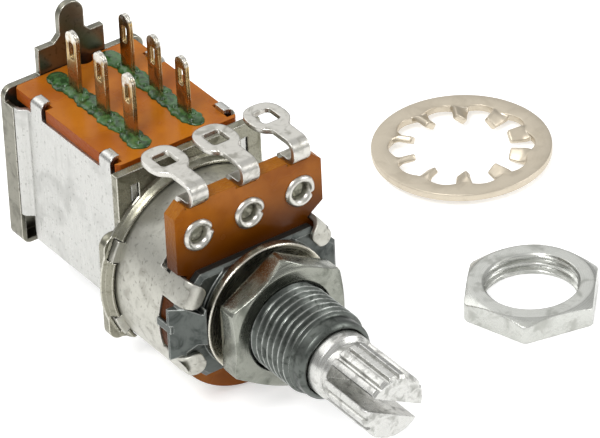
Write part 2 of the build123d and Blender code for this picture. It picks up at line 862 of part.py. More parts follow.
# Washers and nuts
def make_flat_washer():
    return tube(flat_washer_d, washer_bore_d, -flat_washer_thickness, 0)


def hex_nut_body():
    """Nut about the Y axis, lying between depth 0 and its own thickness."""
    across_corners = nut_width / math.cos(math.radians(30))
    blank = slab(RegularPolygon(across_corners / 2, 6, rotation=nut_turn), 0, nut_thickness)
    rise = nut_corner_chamfer
    flat_r = nut_width / 2 - 0.1
    wide_r = across_corners / 2 + 0.05
    shape = turned([
        (nut_bore_d / 2 + nut_bore_chamfer, 0),
        (flat_r, 0),
        (wide_r, rise),
        (wide_r, nut_thickness),
        (nut_bore_d / 2, nut_thickness),
        (nut_bore_d / 2, nut_bore_chamfer),
    ])
    return blank & shape


def make_hex_nut():
    return Pos(0, nut_front_y, 0) * hex_nut_body()


def make_spare_nut():
    x, y = spare_nut_at
    flat = Rot(-90, 0, 0) * hex_nut_body()
    return Pos(x, y, table_z + nut_thickness) * Rot(0, 0, spare_nut_turn - nut_turn) * flat


def make_lock_washer():
    """Flat ring with a crown of inner teeth, each twisted about its own radius."""
    ring = Circle(lock_washer_d / 2) - Circle(lock_ring_inner_d / 2)
    body = extrude(ring, lock_sheet)
    root = lock_ring_inner_d / 2 + 0.35
    tip = lock_tooth_tip_d / 2
    length = root - tip
    plan = Polygon((0, -lock_tooth_width * 0.65), (0, lock_tooth_width * 0.65),
                   (-length, lock_tooth_width * 0.42), (-length, -lock_tooth_width * 0.42), align=None)
    tooth = Pos(root, 0, lock_sheet / 2) * Rot(lock_tooth_twist, 0, 0) * Pos(0, 0, -lock_sheet / 2) * extrude(plan, lock_sheet)
    for index in range(lock_tooth_count):
        body += Rot(0, 0, lock_washer_turn + 360 * index / lock_tooth_count) * tooth
    low = body.bounding_box().min.Z
    x, y = lock_washer_at
    return Pos(x, y, table_z - low) * body


pieces = {
    "mounting_bushing": make_mounting_bushing(),
    "shaft": make_shaft(),
    "shaft_clip": make_shaft_clip(),
    "terminal_board": make_terminal_board(),
    "board_rivets": make_board_rivets(),
    "resistive_track": make_resistive_track(),
    "collector_ring": make_collector_ring(),
    "rotor": make_rotor(),
    "wiper": make_wiper(),
    "can": make_can(),
    "switch_front_plate": make_switch_front_plate(),
    "switch_housing": make_switch_housing(),
    "back_cover": make_back_cover(),
    "switch_board": make_switch_board(),
    "switch_slider": make_switch_slider(),
    "detent_spring": make_detent_spring(),
    "flat_washer": make_flat_washer(),
    "hex_nut": make_hex_nut(),
    "lock_washer": make_lock_washer(),
    "spare_nut": make_spare_nut(),
}
for side, x in zip(("left", "middle", "right"), terminal_xs):
    pieces["solder_lug_" + side] = make_solder_lug(x)
for index, side in enumerate(("left", "right")):
    pieces["sealant_" + side] = make_sealant(index)
    pieces["bridge_contact_" + side] = make_bridge_contact(row_x[index])
    for number, y in enumerate(contact_y, start=1):
        pieces[f"switch_terminal_{side}_{number}"] = make_switch_terminal(index, y)

os.makedirs("parts", exist_ok=True)
for name, shape in pieces.items():
    solids = shape if isinstance(shape, list) else [shape]
    if len(solids) > 1:
        export_step(Compound(children=[s.solid() for s in solids]), f"parts/{name}.step")
    else:
        export_step(solids[0], f"parts/{name}.step")
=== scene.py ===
"""Looks of a push-pull potentiometer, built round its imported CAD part.

The frame is in metres. Every size in the classes below is in millimetres, and one
function turns finished arrays of points into meshes in metres. The shaft lies along Y
with its knob end at -Y, and Z points up towards the solder lugs.
"""

from __future__ import annotations

import json
import logging
import math
from collections.abc import Callable
from dataclasses import dataclass, field
from enum import Enum

import bmesh
import bpy
import numpy as np
from mathutils import Matrix, Vector

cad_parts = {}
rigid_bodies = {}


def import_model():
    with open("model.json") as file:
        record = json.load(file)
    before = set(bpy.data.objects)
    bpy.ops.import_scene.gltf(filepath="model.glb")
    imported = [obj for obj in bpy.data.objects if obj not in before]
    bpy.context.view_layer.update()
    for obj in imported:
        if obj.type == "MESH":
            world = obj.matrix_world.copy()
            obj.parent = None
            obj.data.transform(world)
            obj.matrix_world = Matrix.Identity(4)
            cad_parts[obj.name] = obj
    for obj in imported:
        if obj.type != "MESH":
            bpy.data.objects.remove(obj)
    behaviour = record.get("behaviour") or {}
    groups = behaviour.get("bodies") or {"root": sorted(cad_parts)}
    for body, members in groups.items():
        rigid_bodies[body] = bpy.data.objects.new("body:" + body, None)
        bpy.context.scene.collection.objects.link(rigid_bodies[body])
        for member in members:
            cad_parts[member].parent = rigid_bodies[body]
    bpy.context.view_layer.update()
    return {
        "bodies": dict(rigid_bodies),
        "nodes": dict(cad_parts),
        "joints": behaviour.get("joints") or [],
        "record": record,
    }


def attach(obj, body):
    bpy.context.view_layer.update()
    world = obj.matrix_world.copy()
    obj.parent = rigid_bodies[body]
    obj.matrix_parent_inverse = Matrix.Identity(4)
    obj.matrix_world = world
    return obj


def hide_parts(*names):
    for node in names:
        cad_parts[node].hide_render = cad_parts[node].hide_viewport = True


Socket = bpy.types.NodeSocket

LOG = logging.getLogger("potentiometer")
MM = 0.001
TAU = 2.0 * math.pi
SQUARE_ANGLE = math.radians(50)

# Places that several pieces share.
FLOOR_Z = -8.5
LOOSE_NUT_XY = (24.8, -3.8)
LUG_X = {"left": -5.1, "middle": 0.0, "right": 5.1}
TERMINAL_Y = (14.9, 19.1, 23.3)


# Meshes from arrays of points


@dataclass
class Skin:
    """Part of a mesh: points in millimetres and the faces that join them."""

    points: np.ndarray
    faces: list[tuple[int, ...]]


def lattice(grid: np.ndarray, wrap_u: bool = False, wrap_v: bool = False) -> Skin:
    """Joins a grid of points with quads.

    Args:
        grid: Points in an array of rows, columns and three coordinates.
        wrap_u: Whether the last row joins the first.
        wrap_v: Whether the last column joins the first.

    Returns:
        The skin over the grid.
    """
    rows, columns = grid.shape[:2]
    u = np.arange(rows if wrap_u else rows - 1)
    v = np.arange(columns if wrap_v else columns - 1)
    u, v = (a.ravel() for a in np.meshgrid(u, v, indexing="ij"))
    next_u = (u + 1) % rows
    next_v = (v + 1) % columns
    corners = [u * columns + v, next_u * columns + v, next_u * columns + next_v, u * columns + next_v]
    quads = np.stack(corners, axis=1)
    return Skin(grid.reshape(-1, 3), [tuple(q) for q in quads.tolist()])


def capped(grid: np.ndarray) -> Skin:
    """Skin over a tube, closed by a flat face at either end.

    Args:
        grid: Rings of points, one in each row.

    Returns:
        The closed skin.
    """
    skin = lattice(grid, wrap_v=True)
    rows, columns = grid.shape[:2]
    for first in (0, (rows - 1) * columns):
        skin.faces.append(tuple(range(first, first + columns)))
    return skin


def around(radius: np.ndarray, depth: np.ndarray, angle: np.ndarray) -> np.ndarray:
    """Points at (r cos a, y, r sin a), which lie round the shaft's line.

    Args:
        radius: Distances r from the line.
        depth: Places y along it.
        angle: Angles a round it, from X towards Z.

    Returns:
        The points, in the shape that the three arrays share.
    """
    radius, depth, angle = np.broadcast_arrays(radius, depth, angle)
    return np.stack([radius * np.cos(angle), depth, radius * np.sin(angle)], axis=-1)


def turned(profile: np.ndarray, steps: int) -> np.ndarray:
    """Grid of a profile turned about the shaft's line.

    Args:
        profile: Rows of radius and depth.
        steps: Columns round the circle.

    Returns:
        The grid, with one row for each profile point.
    """
    return around(profile[:, :1], profile[:, 1:2], np.linspace(0.0, TAU, steps, endpoint=False))


def bent(points: list[tuple[float, float]], radii: tuple[float, ...], steps: int = 9) -> np.ndarray:
    """Line through points whose inner corners are rounded.

    Each corner becomes an arc of its radius that touches both of its stretches.

    Args:
        points: Corners of the line in its own plane.
        radii: One radius for each inner corner.
        steps: Points on each arc.

    Returns:
        The rounded line.
    """
    corners = [np.array(p, float) for p in points]
    line = [corners[0]]
    for before, corner, after, radius in zip(corners, corners[1:], corners[2:], radii):
        back = (before - corner) / np.linalg.norm(before - corner)
        ahead = (after - corner) / np.linalg.norm(after - corner)
        half = math.acos(float(back @ ahead)) / 2
        middle = back + ahead
        centre = corner + middle / np.linalg.norm(middle) * radius / math.sin(half)
        first = corner + back * radius / math.tan(half) - centre
        last = corner + ahead * radius / math.tan(half) - centre
        sweep = math.pi - 2 * half
        for share in np.linspace(0, 1, steps):
            mixed = math.sin((1 - share) * sweep) * first + math.sin(share * sweep) * last
            line.append(centre + mixed / math.sin(sweep))
    line.append(corners[-1])
    return np.array(line)


@dataclass(frozen=True)
class Axes:
    """Where a piece's own u, v and w directions lie in the part."""

    origin: tuple[float, float, float] = (0.0, 0.0, 0.0)
    u: tuple[float, float, float] = (1.0, 0.0, 0.0)
    v: tuple[float, float, float] = (0.0, 1.0, 0.0)
    w: tuple[float, float, float] = (0.0, 0.0, 1.0)

    def place(self, points: np.ndarray) -> np.ndarray:
        """Turns points in u, v and w into points in the part."""
        return np.array(self.origin) + points @ np.array([self.u, self.v, self.w])


def lengths(line: np.ndarray) -> np.ndarray:
    """Way along a line at each of its points."""
    return np.concatenate([[0], np.cumsum(np.linalg.norm(np.diff(line, axis=0), axis=1))])


def dense(line: np.ndarray, step: float = 0.25) -> np.ndarray:
    """Adds points along a line so that none lie more than a step apart.

    Args:
        line: The line's points in its plane.
        step: The most that two neighbours may lie apart.

    Returns:
        The line with its own points and the added ones.
    """
    run = lengths(line)
    stops = [run[:1]]
    for start, end in zip(run, run[1:]):
        stops.append(np.linspace(start, end, max(2, math.ceil((end - start) / step) + 1))[1:])
    stop = np.concatenate(stops)
    return np.stack([np.interp(stop, run, line[:, 0]), np.interp(stop, run, line[:, 1])], axis=1)


@dataclass(frozen=True)
class Eye:
    """A rounded rectangular hole in a strip, measured along the line and across it."""

    centre: float
    length: float
    width: float
    corner: float

    def half(self, place: np.ndarray) -> np.ndarray:
        """Half width of the hole along the strip.

        It is half the width less the corner radius c, plus the root of c squared less
        the square of the way past the start of the corner.

        Args:
            place: Places along the strip.

        Returns:
            The half width at each.
        """
        past = np.clip(np.abs(place - self.centre) - (self.length / 2 - self.corner), 0, self.corner)
        return self.width / 2 - self.corner + np.sqrt(self.corner**2 - past**2)

    def stops(self) -> np.ndarray:
        """Places along the strip where the hole's outline needs points.

        Returns:
            The places round the corners of either end.
        """
        turn = np.radians([0, 25, 50, 75, 90])
        near = self.centre - self.length / 2 + self.corner * (1 - np.sin(turn))
        return np.concatenate([near, 2 * self.centre - near])

    def inside(self, place: np.ndarray) -> np.ndarray:
        """Whether each place lies between the ends of the hole."""
        return np.abs(place - self.centre) < self.length / 2 - 1e-6


def pressed(line: np.ndarray, half: np.ndarray, sheet: float, axes: Axes, eye: Eye | None = None,
            along: np.ndarray | None = None) -> Skin:
    """Strip of sheet metal along a line, with an eye where one is given.

    Args:
        line: Centre line in u and v.
        half: Half width along w at each point of the line.
        sheet: Thickness across the line.
        axes: Where u, v and w lie.
        eye: The hole.
        along: Measure of place that the eye is given in, at each point of the line.

    Returns:
        The closed strip, with square edges. Rim columns run beside the eye, and core
        columns across it.
    """
    tangent = np.gradient(line, axis=0)
    tangent = tangent / np.linalg.norm(tangent, axis=1)[:, None]
    normal = np.stack([-tangent[:, 1], tangent[:, 0]], axis=1)
    inner = 0.5 * half if eye is None else np.minimum(eye.half(along), 0.8 * half)
    rim = 3
    core = 4
    bands = [np.linspace(-half, -inner, rim + 1), np.linspace(-inner, inner, core + 1)[1:-1],
             np.linspace(inner, half, rim + 1)]
    across = np.concatenate(bands).T
    rows, columns = across.shape
    kept = np.ones((rows - 1, columns - 1), bool)
    if eye is not None:
        kept[eye.inside((along[1:] + along[:-1]) / 2), rim:rim + core] = False
    sides = []
    for side in (0.5, -0.5):
        flat = (line + side * sheet * normal)[:, None, :] + np.zeros((rows, columns, 1))
        sides.append(np.concatenate([flat, across[:, :, None]], axis=2))
    points = np.stack(sides, axis=2).reshape(-1, 3)
    faces: list[tuple[int, ...]] = []
    for i, j in zip(*(n.tolist() for n in np.nonzero(kept))):
        ring = [(r * columns + c) * 2 for r, c in ((i, j), (i + 1, j), (i + 1, j + 1), (i, j + 1))]
        faces.append(tuple(ring))
        faces.append(tuple(k + 1 for k in reversed(ring)))
        beside = ((i, j - 1), (i + 1, j), (i, j + 1), (i - 1, j))
        for (r, c), a, b in zip(beside, ring, ring[1:] + ring[:1]):
            if not (0 <= r < rows - 1 and 0 <= c < columns - 1 and kept[r, c]):
                faces.append((a, a + 1, b + 1, b))
    return Skin(axes.place(points), faces)


def circle(radius: float, angle: np.ndarray) -> np.ndarray:
    """Points of a circle at the given angles."""
    return radius * np.stack([np.cos(angle), np.sin(angle)], axis=1)


def pierced(outer: np.ndarray, inner: np.ndarray, low: float, high: float, axes: Axes,
            edge: float = 0.1) -> Skin:
    """Flat plate between two closed outlines, with every edge rounded.

    Each edge is a quarter turn: the outline moves in by the edge less its sine, and
    the level off the face by the edge less its cosine.

    Args:
        outer: Outside outline in u and v, running counterclockwise.
        inner: Outline of the hole, with as many points.
        low: Lower face along w.
        high: Upper face along w.
        axes: Where u, v and w lie.
        edge: Radius of the edges.

    Returns:
        The closed plate.
    """
    rows = []
    quarter = np.radians([0, 30, 60, 90])
    sides = ((outer, -1, high, -1, quarter), (outer, -1, low, 1, quarter[::-1]),
             (inner, 1, low, 1, quarter), (inner, 1, high, -1, quarter[::-1]))
    for shape, inset, face, rise, turns in sides:
        tangent = np.roll(shape, -1, axis=0) - np.roll(shape, 1, axis=0)
        tangent = tangent / np.linalg.norm(tangent, axis=1)[:, None]
        normal = np.stack([tangent[:, 1], -tangent[:, 0]], axis=1)
        for turn in turns:
            level = np.full((len(shape), 1), face + rise * edge * (1 - math.cos(turn)))
            rows.append(np.hstack([shape + inset * edge * (1 - math.sin(turn)) * normal, level]))
    return lattice(axes.place(np.array(rows)), wrap_u=True, wrap_v=True)


def make_piece(
    name: str,
    skins: list[Skin],
    material: bpy.types.Material,
    body: str,
    replaces: tuple[str, ...],
    smooth_deg: float,
    soft_mm: float = 0.0,
) -> bpy.types.Object:
    """Makes one finished piece from its skins and ties it to the frame.

    Args:
        name: The piece's name.
        skins: Its surfaces, in millimetres.
        material: Its finish.
        body: The CAD body that it rides on.
        replaces: CAD nodes that it is shown in place of.
        smooth_deg: Edges sharper than this angle stay crisp.
        soft_mm: Width by which square edges are rounded.

    Returns:
        The new object.
    """
    starts = np.cumsum([0] + [len(s.points) for s in skins])
    points = np.concatenate([s.points for s in skins]) * MM
    faces = [tuple(i + start for i in f) for s, start in zip(skins, starts.tolist()) for f in s.faces]
    mesh = bpy.data.meshes.new(name)
    mesh.from_pydata(points.tolist(), [], faces)
    mesh.validate()
    shape = bmesh.new()
    shape.from_mesh(mesh)
    bmesh.ops.delete(shape, geom=[v for v in shape.verts if not v.link_faces], context="VERTS")
    bmesh.ops.recalc_face_normals(shape, faces=shape.faces)
    if soft_mm:
        square = [e for e in shape.edges if e.is_manifold and e.calc_face_angle() > SQUARE_ANGLE]
        bmesh.ops.bevel(shape, geom=square, offset=soft_mm * MM, segments=3, profile=0.5, affect="EDGES",
                        clamp_overlap=True)
    shape.to_mesh(mesh)
    shape.free()
    mesh.shade_smooth()
    mesh.set_sharp_from_angle(angle=math.radians(smooth_deg))
    mesh.materials.append(material)
    piece = bpy.data.objects.new(name, mesh)
    bpy.context.scene.collection.objects.link(piece)
    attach(piece, body)
    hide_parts(*replaces)
    LOG.info("%s: %d faces on %s", name, len(mesh.polygons), body)
    return piece


def cad_skin(node: bpy.types.Object, keep: Callable[[np.ndarray], np.ndarray]) -> Skin:
    """Copies the triangles of a CAD node that a test keeps.

    Args:
        node: The CAD node's object.
        keep: Function from an array of face centres in millimetres to a mask.

    Returns:
        The kept triangles, with doubled points merged.
    """
    mesh = node.data
    points = np.zeros(len(mesh.vertices) * 3)
    mesh.vertices.foreach_get("co", points)
    points = points.reshape(-1, 3) / MM
    corners = np.array([tuple(p.vertices) for p in mesh.polygons])
    mask = keep(points[corners].mean(axis=1))
    rounded = np.round(points, 5)
    unique, index = np.unique(rounded, axis=0, return_inverse=True)
    triangles = index.ravel()[corners[mask]]
    return Skin(unique, [tuple(t) for t in triangles.tolist() if len(set(t)) == 3])


# Colours and shader nodes


def srgb(code: str) -> tuple[float, float, float, float]:
    """Turns an sRGB hex code into the linear colour that shaders take.

    Args:
        code: A hash and six digits.

    Returns:
        The linear red, green and blue, and an alpha of 1.
    """
    values = [int(code[i : i + 2], 16) / 255 for i in (1, 3, 5)]
    linear = [v / 12.92 if v <= 0.04045 else ((v + 0.055) / 1.055) ** 2.4 for v in values]
    return (*linear, 1.0)


def add_node(tree: bpy.types.NodeTree, kind: str, inputs: dict[str | int, object] | None = None,
             **settings: object) -> bpy.types.Node:
    """Adds a shader node with its settings, values and links.

    Args:
        tree: The material's or world's node tree.
        kind: The node's type without its ShaderNode prefix.
        inputs: Input names or numbers, each with a value or an output socket.
        settings: Attributes of the node.

    Returns:
        The new node.
    """
    node = tree.nodes.new("ShaderNode" + kind)
    for key, value in settings.items():
        setattr(node, key, value)
    for key, value in (inputs or {}).items():
        if isinstance(value, Socket):
            tree.links.new(value, node.inputs[key])
        else:
            node.inputs[key].default_value = value
    return node


class Grain(Enum):
    """Which way the fine marks of a metal's working run."""

    NONE = "none"
    ALONG_Z = "streaks along Z"
    TURNED_Y = "rings about a line along Y"
    TURNED_Z = "rings about a line along Z"


class Recipe:
    """Shader nodes that the finishes share, in one material."""

    def __init__(self, name: str) -> None:
        """Starts an empty material whose patterns are measured in millimetres.

        Args:
            name: The material's name.
        """
        self.material = bpy.data.materials.new(name)
        self.material.use_nodes = True
        self.tree = self.material.node_tree
        self.tree.nodes.clear()
        metres = add_node(self.tree, "TexCoord").outputs["Object"]
        self.place = self.vector("MULTIPLY", metres, (1 / MM,) * 3)

    def vector(self, kind: str, first: Socket, second: tuple[float, float, float]) -> Socket:
        """One sum of a vector and a constant one."""
        return add_node(self.tree, "VectorMath", {0: first, 1: second}, operation=kind).outputs[0]

    def math(self, kind: str, first: Socket | float, second: Socket | float = 0.0) -> Socket:
        """One sum of two values."""
        return add_node(self.tree, "Math", {0: first, 1: second}, operation=kind).outputs[0]

    def axis(self, letter: str) -> Socket:
        """One coordinate of the place."""
        return add_node(self.tree, "SeparateXYZ", {0: self.place}).outputs[letter]

    def noise(self, size_mm: float, detail: float = 3.0, place: Socket | None = None,
              distortion: float = 0.0) -> Socket:
        """Cloudy pattern whose patches are about the given size."""
        inputs = {"Vector": place or self.place, "Scale": 1 / size_mm, "Detail": detail, "Roughness": 0.6,
                  "Distortion": distortion}
        return add_node(self.tree, "TexNoise", inputs).outputs["Fac"]

    def remap(self, value: Socket, low: float, high: float, to_low: float = 0.0,
              to_high: float = 1.0) -> Socket:
        """Stretches the span low to high onto to_low to to_high, and clamps."""
        inputs = {0: value, 1: low, 2: high, 3: to_low, 4: to_high}
        return add_node(self.tree, "MapRange", inputs, interpolation_type="SMOOTHSTEP").outputs[0]

    def mix(self, factor: Socket | float, first: Socket | str, second: Socket | str) -> Socket:
        """Blends two colours, each a socket or an sRGB hex code."""
        a, b = (srgb(c) if isinstance(c, str) else c for c in (first, second))
        return add_node(self.tree, "Mix", {0: factor, 6: a, 7: b}, data_type="RGBA").outputs[2]

    def stretched(self, size_mm: tuple[float, float, float]) -> Socket:
        """Place divided by a different length along each axis, for streaks."""
        return self.vector("MULTIPLY", self.place, tuple(1 / s for s in size_mm))

    def radius(self, upright: bool, centre: tuple[float, float, float]) -> tuple[Socket, Socket]:
        """Distance from a line along Y, or along Z when it is upright, and way along it.

        Args:
            upright: Whether the line runs along Z.
            centre: A point on the line, from which the way is measured.

        Returns:
            The distance and the way, in millimetres.
        """
        moved = self.vector("SUBTRACT", self.place, centre)
        parts = add_node(self.tree, "SeparateXYZ", {0: moved}).outputs
        side, along = ("Y", "Z") if upright else ("Z", "Y")
        flat = add_node(self.tree, "CombineXYZ", {0: parts["X"], 1: parts[side]}).outputs[0]
        length = add_node(self.tree, "VectorMath", {0: flat}, operation="LENGTH").outputs["Value"]
        return length, parts[along]

    def grain(self, kind: Grain, fine_mm: float, long_mm: float,
              centre: tuple[float, float, float]) -> Socket:
        """Fine working marks: streaks along an axis, or rings about a line.

        Args:
            kind: Which of them.
            fine_mm: Distance from mark to mark.
            long_mm: Length of a streak.
            centre: A point on the rings' line.

        Returns:
            The pattern.
        """
        if kind is Grain.ALONG_Z:
            return self.noise(1.0, 2.0, self.stretched((fine_mm, fine_mm, long_mm)))
        distance, along = self.radius(kind is Grain.TURNED_Z, centre)
        rings = add_node(self.tree, "CombineXYZ", {0: distance, 1: along}).outputs[0]
        return self.noise(1.0, 2.0, self.vector("MULTIPLY", rings, (1 / fine_mm,) * 3))

    def edges(self, radius_mm: float) -> tuple[Socket, Socket]:
        """Rounds sharp edges in the shading.

        Args:
            radius_mm: How round they look.

        Returns:
            The rounded normal, and a mask that is 1 on the edges.
        """
        soft = add_node(self.tree, "Bevel", {"Radius": radius_mm * MM}, samples=6).outputs[0]
        hard = add_node(self.tree, "NewGeometry").outputs["Normal"]
        same = add_node(self.tree, "VectorMath", {0: soft, 1: hard}, operation="DOT_PRODUCT")
        return soft, self.remap(same.outputs["Value"], 0.985, 0.80)

    def bump(self, height: Socket, depth_mm: float, normal: Socket | None = None) -> Socket:
        """Raises the surface by a pattern.

        Args:
            height: The pattern.
            depth_mm: How far it raises the surface where it is 1.
            normal: The normal that it starts from.

        Returns:
            The raised surface's normal.
        """
        inputs = {"Strength": 1.0, "Distance": depth_mm * MM, "Height": height}
        if normal is not None:
            inputs["Normal"] = normal
        return add_node(self.tree, "Bump", inputs).outputs[0]

    def finish(self, inputs: dict[str | int, object]) -> bpy.types.Material:
        """Closes the material with one principled surface.

        Args:
            inputs: The surface's inputs.

        Returns:
            The material.
        """
        shader = add_node(self.tree, "BsdfPrincipled", inputs)
        add_node(self.tree, "OutputMaterial", {"Surface": shader.outputs[0]})
        return self.material


@dataclass(frozen=True)
class Metal:
    """A plated, rolled, cast or turned metal surface.

    Dull patches change its colour and roughness, fine marks of its working lie along
    the grain, and its edges are rounded and painted lighter, partly as wear and partly
    as painted highlight, as is all that lies past crest_r from the shaft's line. Dark
    flecks and a tinned top are added where given.
    """

    name: str
    base: str
    stain: str
    wear_and_highlight: str
    rough: tuple[float, float]
    stain_mm: float = 2.5
    stain_span: tuple[float, float] = (0.45, 0.7)
    speck_mm: float = 0.25
    speck: float = 0.25
    grain: Grain = Grain.NONE
    grain_mm: tuple[float, float] = (0.08, 4.0)
    grain_depth_mm: float = 0.004
    centre: tuple[float, float, float] = (0.0, 0.0, 0.0)
    dent_mm: float = 3.0
    dent_depth_mm: float = 0.03
    pit_mm: float = 0.12
    pit_depth_mm: float = 0.0
    edge_mm: float = 0.12
    edge_wear_and_highlight: float = 0.6
    tinned: str = ""
    tinned_z: tuple[float, float] = (0.0, 0.0)
    crest_r: tuple[float, float] | None = None
    fleck_mm: float = 0.0
    fleck: str = "#6b6a62"

    def build(self) -> bpy.types.Material:
        """Makes the material.

        Returns:
            The material.
        """
        r = Recipe(self.name)
        patches = r.remap(r.noise(self.stain_mm, 5.0, distortion=0.6), *self.stain_span)
        specks = r.remap(r.noise(self.speck_mm, 2.0), 0.56, 0.7, 0.0, self.speck)
        dull = r.math("MAXIMUM", patches, specks)
        soft, edge = r.edges(self.edge_mm)
        if self.crest_r:
            distance, _ = r.radius(False, self.centre)
            patchy = r.remap(r.noise(0.5, 3.0), 0.3, 0.6, 0.15, 0.65)
            edge = r.math("MAXIMUM", edge, r.math("MULTIPLY", r.remap(distance, *self.crest_r), patchy))
        # Edges and thread crests are painted lighter: partly wear, partly painted highlight.
        wear_and_highlight = r.math("MULTIPLY", edge, self.edge_wear_and_highlight)
        colour = r.mix(wear_and_highlight, r.mix(dull, self.base, self.stain), self.wear_and_highlight)
        if self.fleck_mm:
            spots = r.remap(r.noise(self.fleck_mm, 0.0), 0.7, 0.78, 0.0, 0.45)
            streaks = r.remap(r.noise(1.0, 1.0, r.stretched((0.16, 0.5, 1.6))), 0.7, 0.78, 0.0, 0.3)
            colour = r.mix(r.math("MAXIMUM", spots, streaks), colour, self.fleck)
        if self.tinned:
            ragged = r.math("ADD", r.axis("Z"), r.remap(r.noise(0.7, 3.0), 0.3, 0.7, -0.6, 0.6))
            colour = r.mix(r.remap(ragged, *self.tinned_z), colour, self.tinned)
        marks = r.grain(self.grain, *self.grain_mm, self.centre) if self.grain is not Grain.NONE else None
        rough = r.remap(dull, 0.0, 1.0, *self.rough)
        normal = r.bump(r.noise(self.dent_mm, 2.0), self.dent_depth_mm, soft)
        if marks is not None:
            rough = r.math("ADD", rough, r.remap(marks, 0.3, 0.75, -0.06, 0.1))
            normal = r.bump(marks, self.grain_depth_mm, normal)
        if self.pit_depth_mm:
            normal = r.bump(r.noise(self.pit_mm, 3.0), self.pit_depth_mm, normal)
        rough = r.math("SUBTRACT", rough, r.math("MULTIPLY", wear_and_highlight, 0.12))
        return r.finish({"Base Color": colour, "Metallic": 1.0, "Roughness": rough, "Normal": normal})


@dataclass(frozen=True)
class Laminate:
    """Phenolic paper laminate: amber, glossy on its faces, ragged at punched edges.

    The normal tells a face from an edge, because a board's faces all point one way.
    The painted shade darkens it between four heights: from the first to the second
    it comes, and from the third to the fourth it goes.
    """

    name: str
    base: str
    deep: str
    edge: str
    face_axis: tuple[float, float, float]
    layer_mm: tuple[float, float, float]
    edge_mm: float = 0.1
    shade: str = ""
    shade_z: tuple[float, float, float, float] = (0.0, 1.0, 2.0, 3.0)

    def build(self) -> bpy.types.Material:
        """Makes the material.

        Returns:
            The material.
        """
        r = Recipe(self.name)
        normal = add_node(r.tree, "NewGeometry").outputs["Normal"]
        dot = add_node(r.tree, "VectorMath", {0: normal, 1: self.face_axis}, operation="DOT_PRODUCT")
        side = r.remap(r.math("ABSOLUTE", dot.outputs["Value"]), 0.75, 0.45)
        clouds = r.remap(r.noise(4.5, 3.0), 0.35, 0.7)
        fibres = r.remap(r.noise(0.3, 4.0), 0.4, 0.75, 0.0, 0.35)
        face = r.mix(r.math("MAXIMUM", clouds, fibres), self.base, self.deep)
        layers = r.remap(r.noise(1.0, 3.0, r.stretched(self.layer_mm)), 0.35, 0.65)
        colour = r.mix(side, face, r.mix(r.math("MULTIPLY", layers, 0.5), self.edge, self.deep))
        # Painted shade: darker across a band of heights.
        if self.shade:
            height = r.axis("Z")
            rise = r.remap(height, self.shade_z[0], self.shade_z[1])
            fall = r.remap(height, self.shade_z[2], self.shade_z[3], 1.0, 0.0)
            colour = r.mix(r.math("MULTIPLY", rise, fall), colour, self.shade)
        soft, _ = r.edges(self.edge_mm)
        height = r.math("MULTIPLY", layers, side)
        normal = r.bump(height, 0.03, r.bump(r.noise(1.6, 2.0), 0.02, soft))
        rough = r.math("ADD", r.remap(clouds, 0.0, 1.0, 0.2, 0.3), r.math("MULTIPLY", side, 0.2))
        return r.finish({
            "Base Color": colour, "Roughness": rough, "Normal": normal, "IOR": 1.55,
            "Specular IOR Level": 0.12,
        })


@dataclass(frozen=True)
class Resin:
    """Cast sealing resin: green, wet looking, darker in random patches."""

    name: str
    base: str
    deep: str

    def build(self) -> bpy.types.Material:
        """Makes the material.

        Returns:
            The material.
        """
        r = Recipe(self.name)
        patches = r.remap(r.noise(0.9, 4.0, distortion=0.5), 0.38, 0.62)
        normal = r.bump(r.noise(0.8, 3.0), 0.05)
        return r.finish({
            "Base Color": r.mix(patches, self.base, self.deep), "Roughness": 0.16, "Normal": normal,
            "IOR": 1.54, "Specular IOR Level": 0.4,
        })


@dataclass(frozen=True)
class Moulding:
    """Moulded plastic or screened film: even colour, fine satin grain."""

    name: str
    base: str
    deep: str
    rough: float

    def build(self) -> bpy.types.Material:
        """Makes the material.

        Returns:
            The material.
        """
        r = Recipe(self.name)
        soft, _ = r.edges(0.1)
        colour = r.mix(r.remap(r.noise(1.2, 3.0), 0.35, 0.7), self.base, self.deep)
        rough = r.remap(r.noise(0.5, 2.0), 0.3, 0.7, self.rough - 0.06, self.rough + 0.06)
        normal = r.bump(r.noise(0.1, 2.0), 0.006, soft)
        return r.finish({"Base Color": colour, "Roughness": rough, "Normal": normal})


